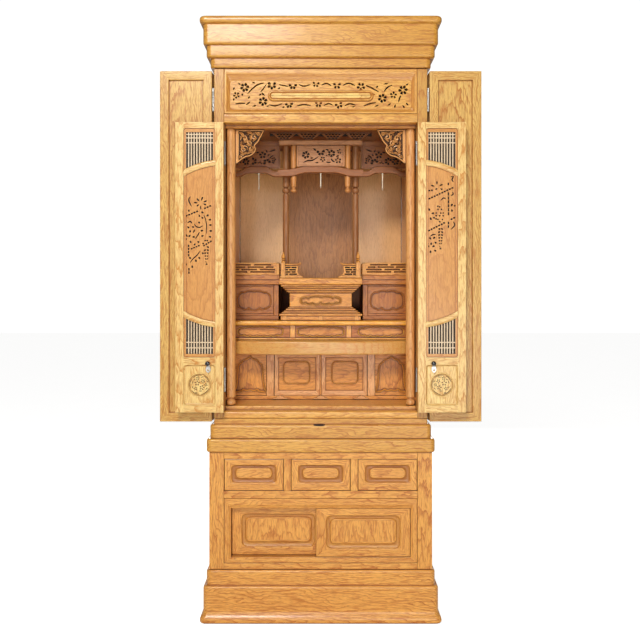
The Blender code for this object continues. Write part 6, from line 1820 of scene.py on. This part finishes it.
def knuckles(P, x, d, z0, z1, r, rings=5):
    """A hinge barrel of five knuckles with a pin's heads at its ends."""
    h = (z1 - z0) / rings
    for k in range(rings):
        a, b = z0 + k * h + 0.15, z0 + (k + 1) * h - 0.15
        P.lathe([(r * 0.86, a), (r, a + 0.4), (r, b - 0.4), (r * 0.86, b)], x, d, 20, "z", 1)
    P.lathe([(r * 0.5, z1), (r * 0.62, z1 + 0.5), (r * 0.4, z1 + 1.2)], x, d, 16, "z", 1)
    P.lathe([(r * 0.4, z0 - 1.2), (r * 0.62, z0 - 0.5), (r * 0.5, z0)], x, d, 16, "z", 1)


for side, s in (("left", -1), ("right", 1)):
    P = Piece("case_hinges_" + side, [STEEL], "case", (), "knob_black")
    for z0, z1 in ((1377.0, 1440.5), (584.0, 648.0), (984.0, 1048.0)):
        knuckles(P, s * 291.9, 1.85, z0, z1, 2.55)
        P.box(*sorted((s * 289.05, s * 289.75)), -0.2, 20.0, z0, z1, "z", 1)
    for z0, z1 in ((1231.8, 1296.8), (616.6, 681.6)):
        knuckles(P, s * 260.0, 6.5, z0, z1, 1.8)
        P.box(*sorted((s * 261.2, s * 261.9)), 3.0, 24.0, z0, z1, "z", 1)
    P.build(0.12, 1)
    P = Piece("outer_fold_hinges_" + side, [STEEL], "outer_near_" + side, (), "knob_black")
    for z0, z1 in ((1376.0, 1439.0), (584.0, 650.0), (980.0, 1044.0)):
        knuckles(P, s * 438.2, 25.5, z0, z1, 1.9)
    P.build(0.1, 1)
    P = Piece("inner_fold_hinges_" + side, [STEEL], "inner_near_" + side, (), "knob_black")
    for z0, z1 in ((1229.0, 1291.0), (616.0, 675.5)):
        knuckles(P, s * 388.65, -19.5, z0, z1, 1.9)
    P.build(0.1, 1)
    P = Piece("black_knob_" + side, [BLACK], "inner_far_" + side, "knob_" + side, "knob_black")
    prof = [(5.6, 0.3), (5.7, 0.9), (5.2, 1.5), (4.0, 2.2), (3.6, 3.0), (4.1, 3.8), (5.2, 4.8), (6.1, 6.0), (6.5, 7.4), (6.4, 8.8), (5.9, 10.0), (4.9, 11.0), (3.4, 11.6), (1.6, 11.95), (0.1, 12.0)]
    P.lathe(prof, s * 301.0, -38.0, 36, "z", 1, 0, True, 697.0)
    P.build(0.0)
    P = Piece("drop_plate_" + side, [STEEL], "inner_far_" + side, (), "knob_black")
    x = s * 301.0 + 0.8
    shape = smooth_loop([(x - 3.4, 692.5), (x - 4.6, 688.0), (x - 6.8, 683.5), (x - 6.2, 677.5), (x - 2.4, 673.6), (x, 671.8), (x + 2.4, 673.6), (x + 6.2, 677.5), (x + 6.8, 683.5), (x + 4.6, 688.0), (x + 3.4, 692.5)], 2)
    eye = [(x + 2.3 * math.cos(2 * PI * k / 16), 679.0 + 2.3 * math.sin(2 * PI * k / 16)) for k in range(16)]
    pierced(P, shape, [eye], -40.0, -38.7, "z", 1, 0, 0.3)
    P.tube([(x + 3.9 * math.sin(a), -40.4 - 0.5 * math.cos(a), 691.6 + 3.9 * math.cos(a)) for a in [2 * PI * k / 20 for k in range(21)]], 0.75, 1, "z", 0, 8)
    P.build(0.0)

P = Piece("lantern_hooks", [BRASS], "case", (), "knob_black")
for x, d, z1 in ((-182.0, 207.0, 1236.0), (0.0, 150.0, 1230.0), (182.0, 207.0, 1236.0)):
    P.lathe([(1.4, 1191.0), (2.3, 1191.6), (2.4, 1193.0), (1.9, 1194.0), (1.9, z1 - 4.0), (2.4, z1 - 3.4), (3.2, z1 - 2.0), (3.2, z1)], x, d, 20, "z", 1)
    P.tube(spline([(x, d, 1192.0), (x, d + 1.0, 1188.8), (x, d + 4.0, 1187.4), (x, d + 7.0, 1189.2), (x, d + 7.6, 1192.4)], 5), 1.1, 1, "z", 0, 8)
P.build(0.0)

# Dark slot of the latch, let into the shoulder of the base moulding: a thin sheet of painted shadow.
P = Piece("latch_slot", [DARK], "case")
shoulder = spline([(9.95, 525.2), (9.45, 526.6), (8.5, 527.9), (7.2, 528.75), (5.5, 529.3), (3.0, 529.55), (1.0, 529.75)], 3)
cols = 24
rows = []
for i in range(cols + 1):
    u = -1 + 2 * i / cols
    half = math.sqrt(max(0.0, 1 - u * u)) * 0.5
    row = []
    for j in range(7):
        t = (0.5 + (j / 6 - 0.5) * 2 * half) * (len(shoulder) - 1)
        a = min(len(shoulder) - 2, int(t))
        o, z = (p + (q - p) * (t - a) for p, q in zip(shoulder[a], shoulder[a + 1]))
        row.append((-4.0 + 16.5 * u, -o - 0.12, z + 0.12))
    rows.append(row)
P.put([p for r in rows for p in r], [(i * 7 + j, i * 7 + j + 1, (i + 1) * 7 + j + 1, (i + 1) * 7 + j) for i in range(cols) for j in range(6)], "x", 1, True, 0)
ob = P.build(0.0)
mod = ob.modifiers.new("thick", "SOLIDIFY")
mod.thickness = 0.0002


# --- stage -----------------------------------------------------------------

floor = bpy.data.meshes.new("floor")
floor.from_pydata([(-14, -12, -0.0006), (14, -12, -0.0006), (14, 16, -0.0006), (-14, 16, -0.0006)], [], [(0, 1, 2, 3)])
floor_ob = bpy.data.objects.new("floor", floor)
bpy.context.scene.collection.objects.link(floor_ob)
m = Nodes("pale_floor")
spot = m.noise(m.node("ShaderNodeTexCoord").outputs["Object"], 3.0, 2.0, 0.5)
m.link(m.mix(m.remap(spot, 0.3, 0.7), (0.90, 0.90, 0.90), (0.93, 0.93, 0.93)), m.shader.inputs["Base Color"])
m.shader.inputs["Roughness"].default_value = 0.7
m.shader.inputs["Specular IOR Level"].default_value = 0.1
m.shader.inputs["Emission Color"].default_value = (1.0, 1.0, 1.0, 1.0)
seen = m.node("ShaderNodeLightPath").outputs["Is Camera Ray"]
m.link(m.math("MULTIPLY", seen, 0.78), m.shader.inputs["Emission Strength"])
floor.materials.append(m.mat)

world = bpy.data.worlds.new("studio")
bpy.context.scene.world = world
world.use_nodes = True
tree = world.node_tree
back = tree.nodes["Background"]
back.inputs["Color"].default_value = (1.0, 0.985, 0.96, 1.0)
back.inputs["Strength"].default_value = 0.20
seen = tree.nodes.new("ShaderNodeBackground")
seen.inputs["Color"].default_value = (1.0, 1.0, 1.0, 1.0)
seen.inputs["Strength"].default_value = 1.05
path = tree.nodes.new("ShaderNodeLightPath")
both = tree.nodes.new("ShaderNodeMixShader")
tree.links.new(path.outputs["Is Camera Ray"], both.inputs[0])
tree.links.new(back.outputs[0], both.inputs[1])
tree.links.new(seen.outputs[0], both.inputs[2])
tree.links.new(both.outputs[0], tree.nodes["World Output"].inputs["Surface"])


def lamp(name, where, to, power, w, h, colour=(1.0, 0.97, 0.93)):
    data = bpy.data.lights.new(name, "AREA")
    data.shape = "RECTANGLE"
    data.size, data.size_y = w, h
    data.energy = power
    data.color = colour
    ob = bpy.data.objects.new(name, data)
    bpy.context.scene.collection.objects.link(ob)
    ob.location = where
    ob.rotation_euler = (Vector(to) - Vector(where)).to_track_quat("-Z", "Y").to_euler()
    return ob


lamp("key", (-0.62, -3.15, 2.7), (0.0, 0.0, 0.6), 70.0, 0.9, 0.6)
lamp("front", (0.1, -3.9, 1.0), (0.0, 0.0, 0.8), 29.0, 1.3, 1.3)
lamp("low", (0.9, -2.9, 0.5), (0.0, 0.0, 0.5), 7.5, 1.2, 0.6)
lamp("side", (-2.8, -0.9, 1.6), (0.0, 0.0, 0.9), 2.0, 1.2, 1.8)
lamp("side_right", (2.8, -0.9, 1.5), (0.0, 0.0, 0.9), 2.0, 1.2, 1.4)
lamp("rear", (0.0, 3.1, 1.1), (0.0, 0.3, 1.0), 24.0, 1.6, 0.8)

cam_data = bpy.data.cameras.new("camera")
cam = bpy.data.objects.new("camera", cam_data)
bpy.context.scene.collection.objects.link(cam)
cam.location = (0.0, -2.615, 0.893)
cam.rotation_euler = (PI / 2, 0.0, 0.0)
cam_data.sensor_width = 36.0
cam_data.lens = 885.5 / 640.0 * 36.0
cam_data.shift_x = -0.0011
cam_data.shift_y = -30.0 / 640.0
cam_data.clip_end = 60.0
bpy.context.scene.camera = cam
bpy.context.scene.view_settings.view_transform = "Standard"
bpy.context.scene.view_settings.look = "None"

total = 0
for ob in MADE:
    total += sum(len(p.vertices) - 2 for p in ob.data.polygons)
print("pieces", len(MADE), "triangles before modifiers", total)
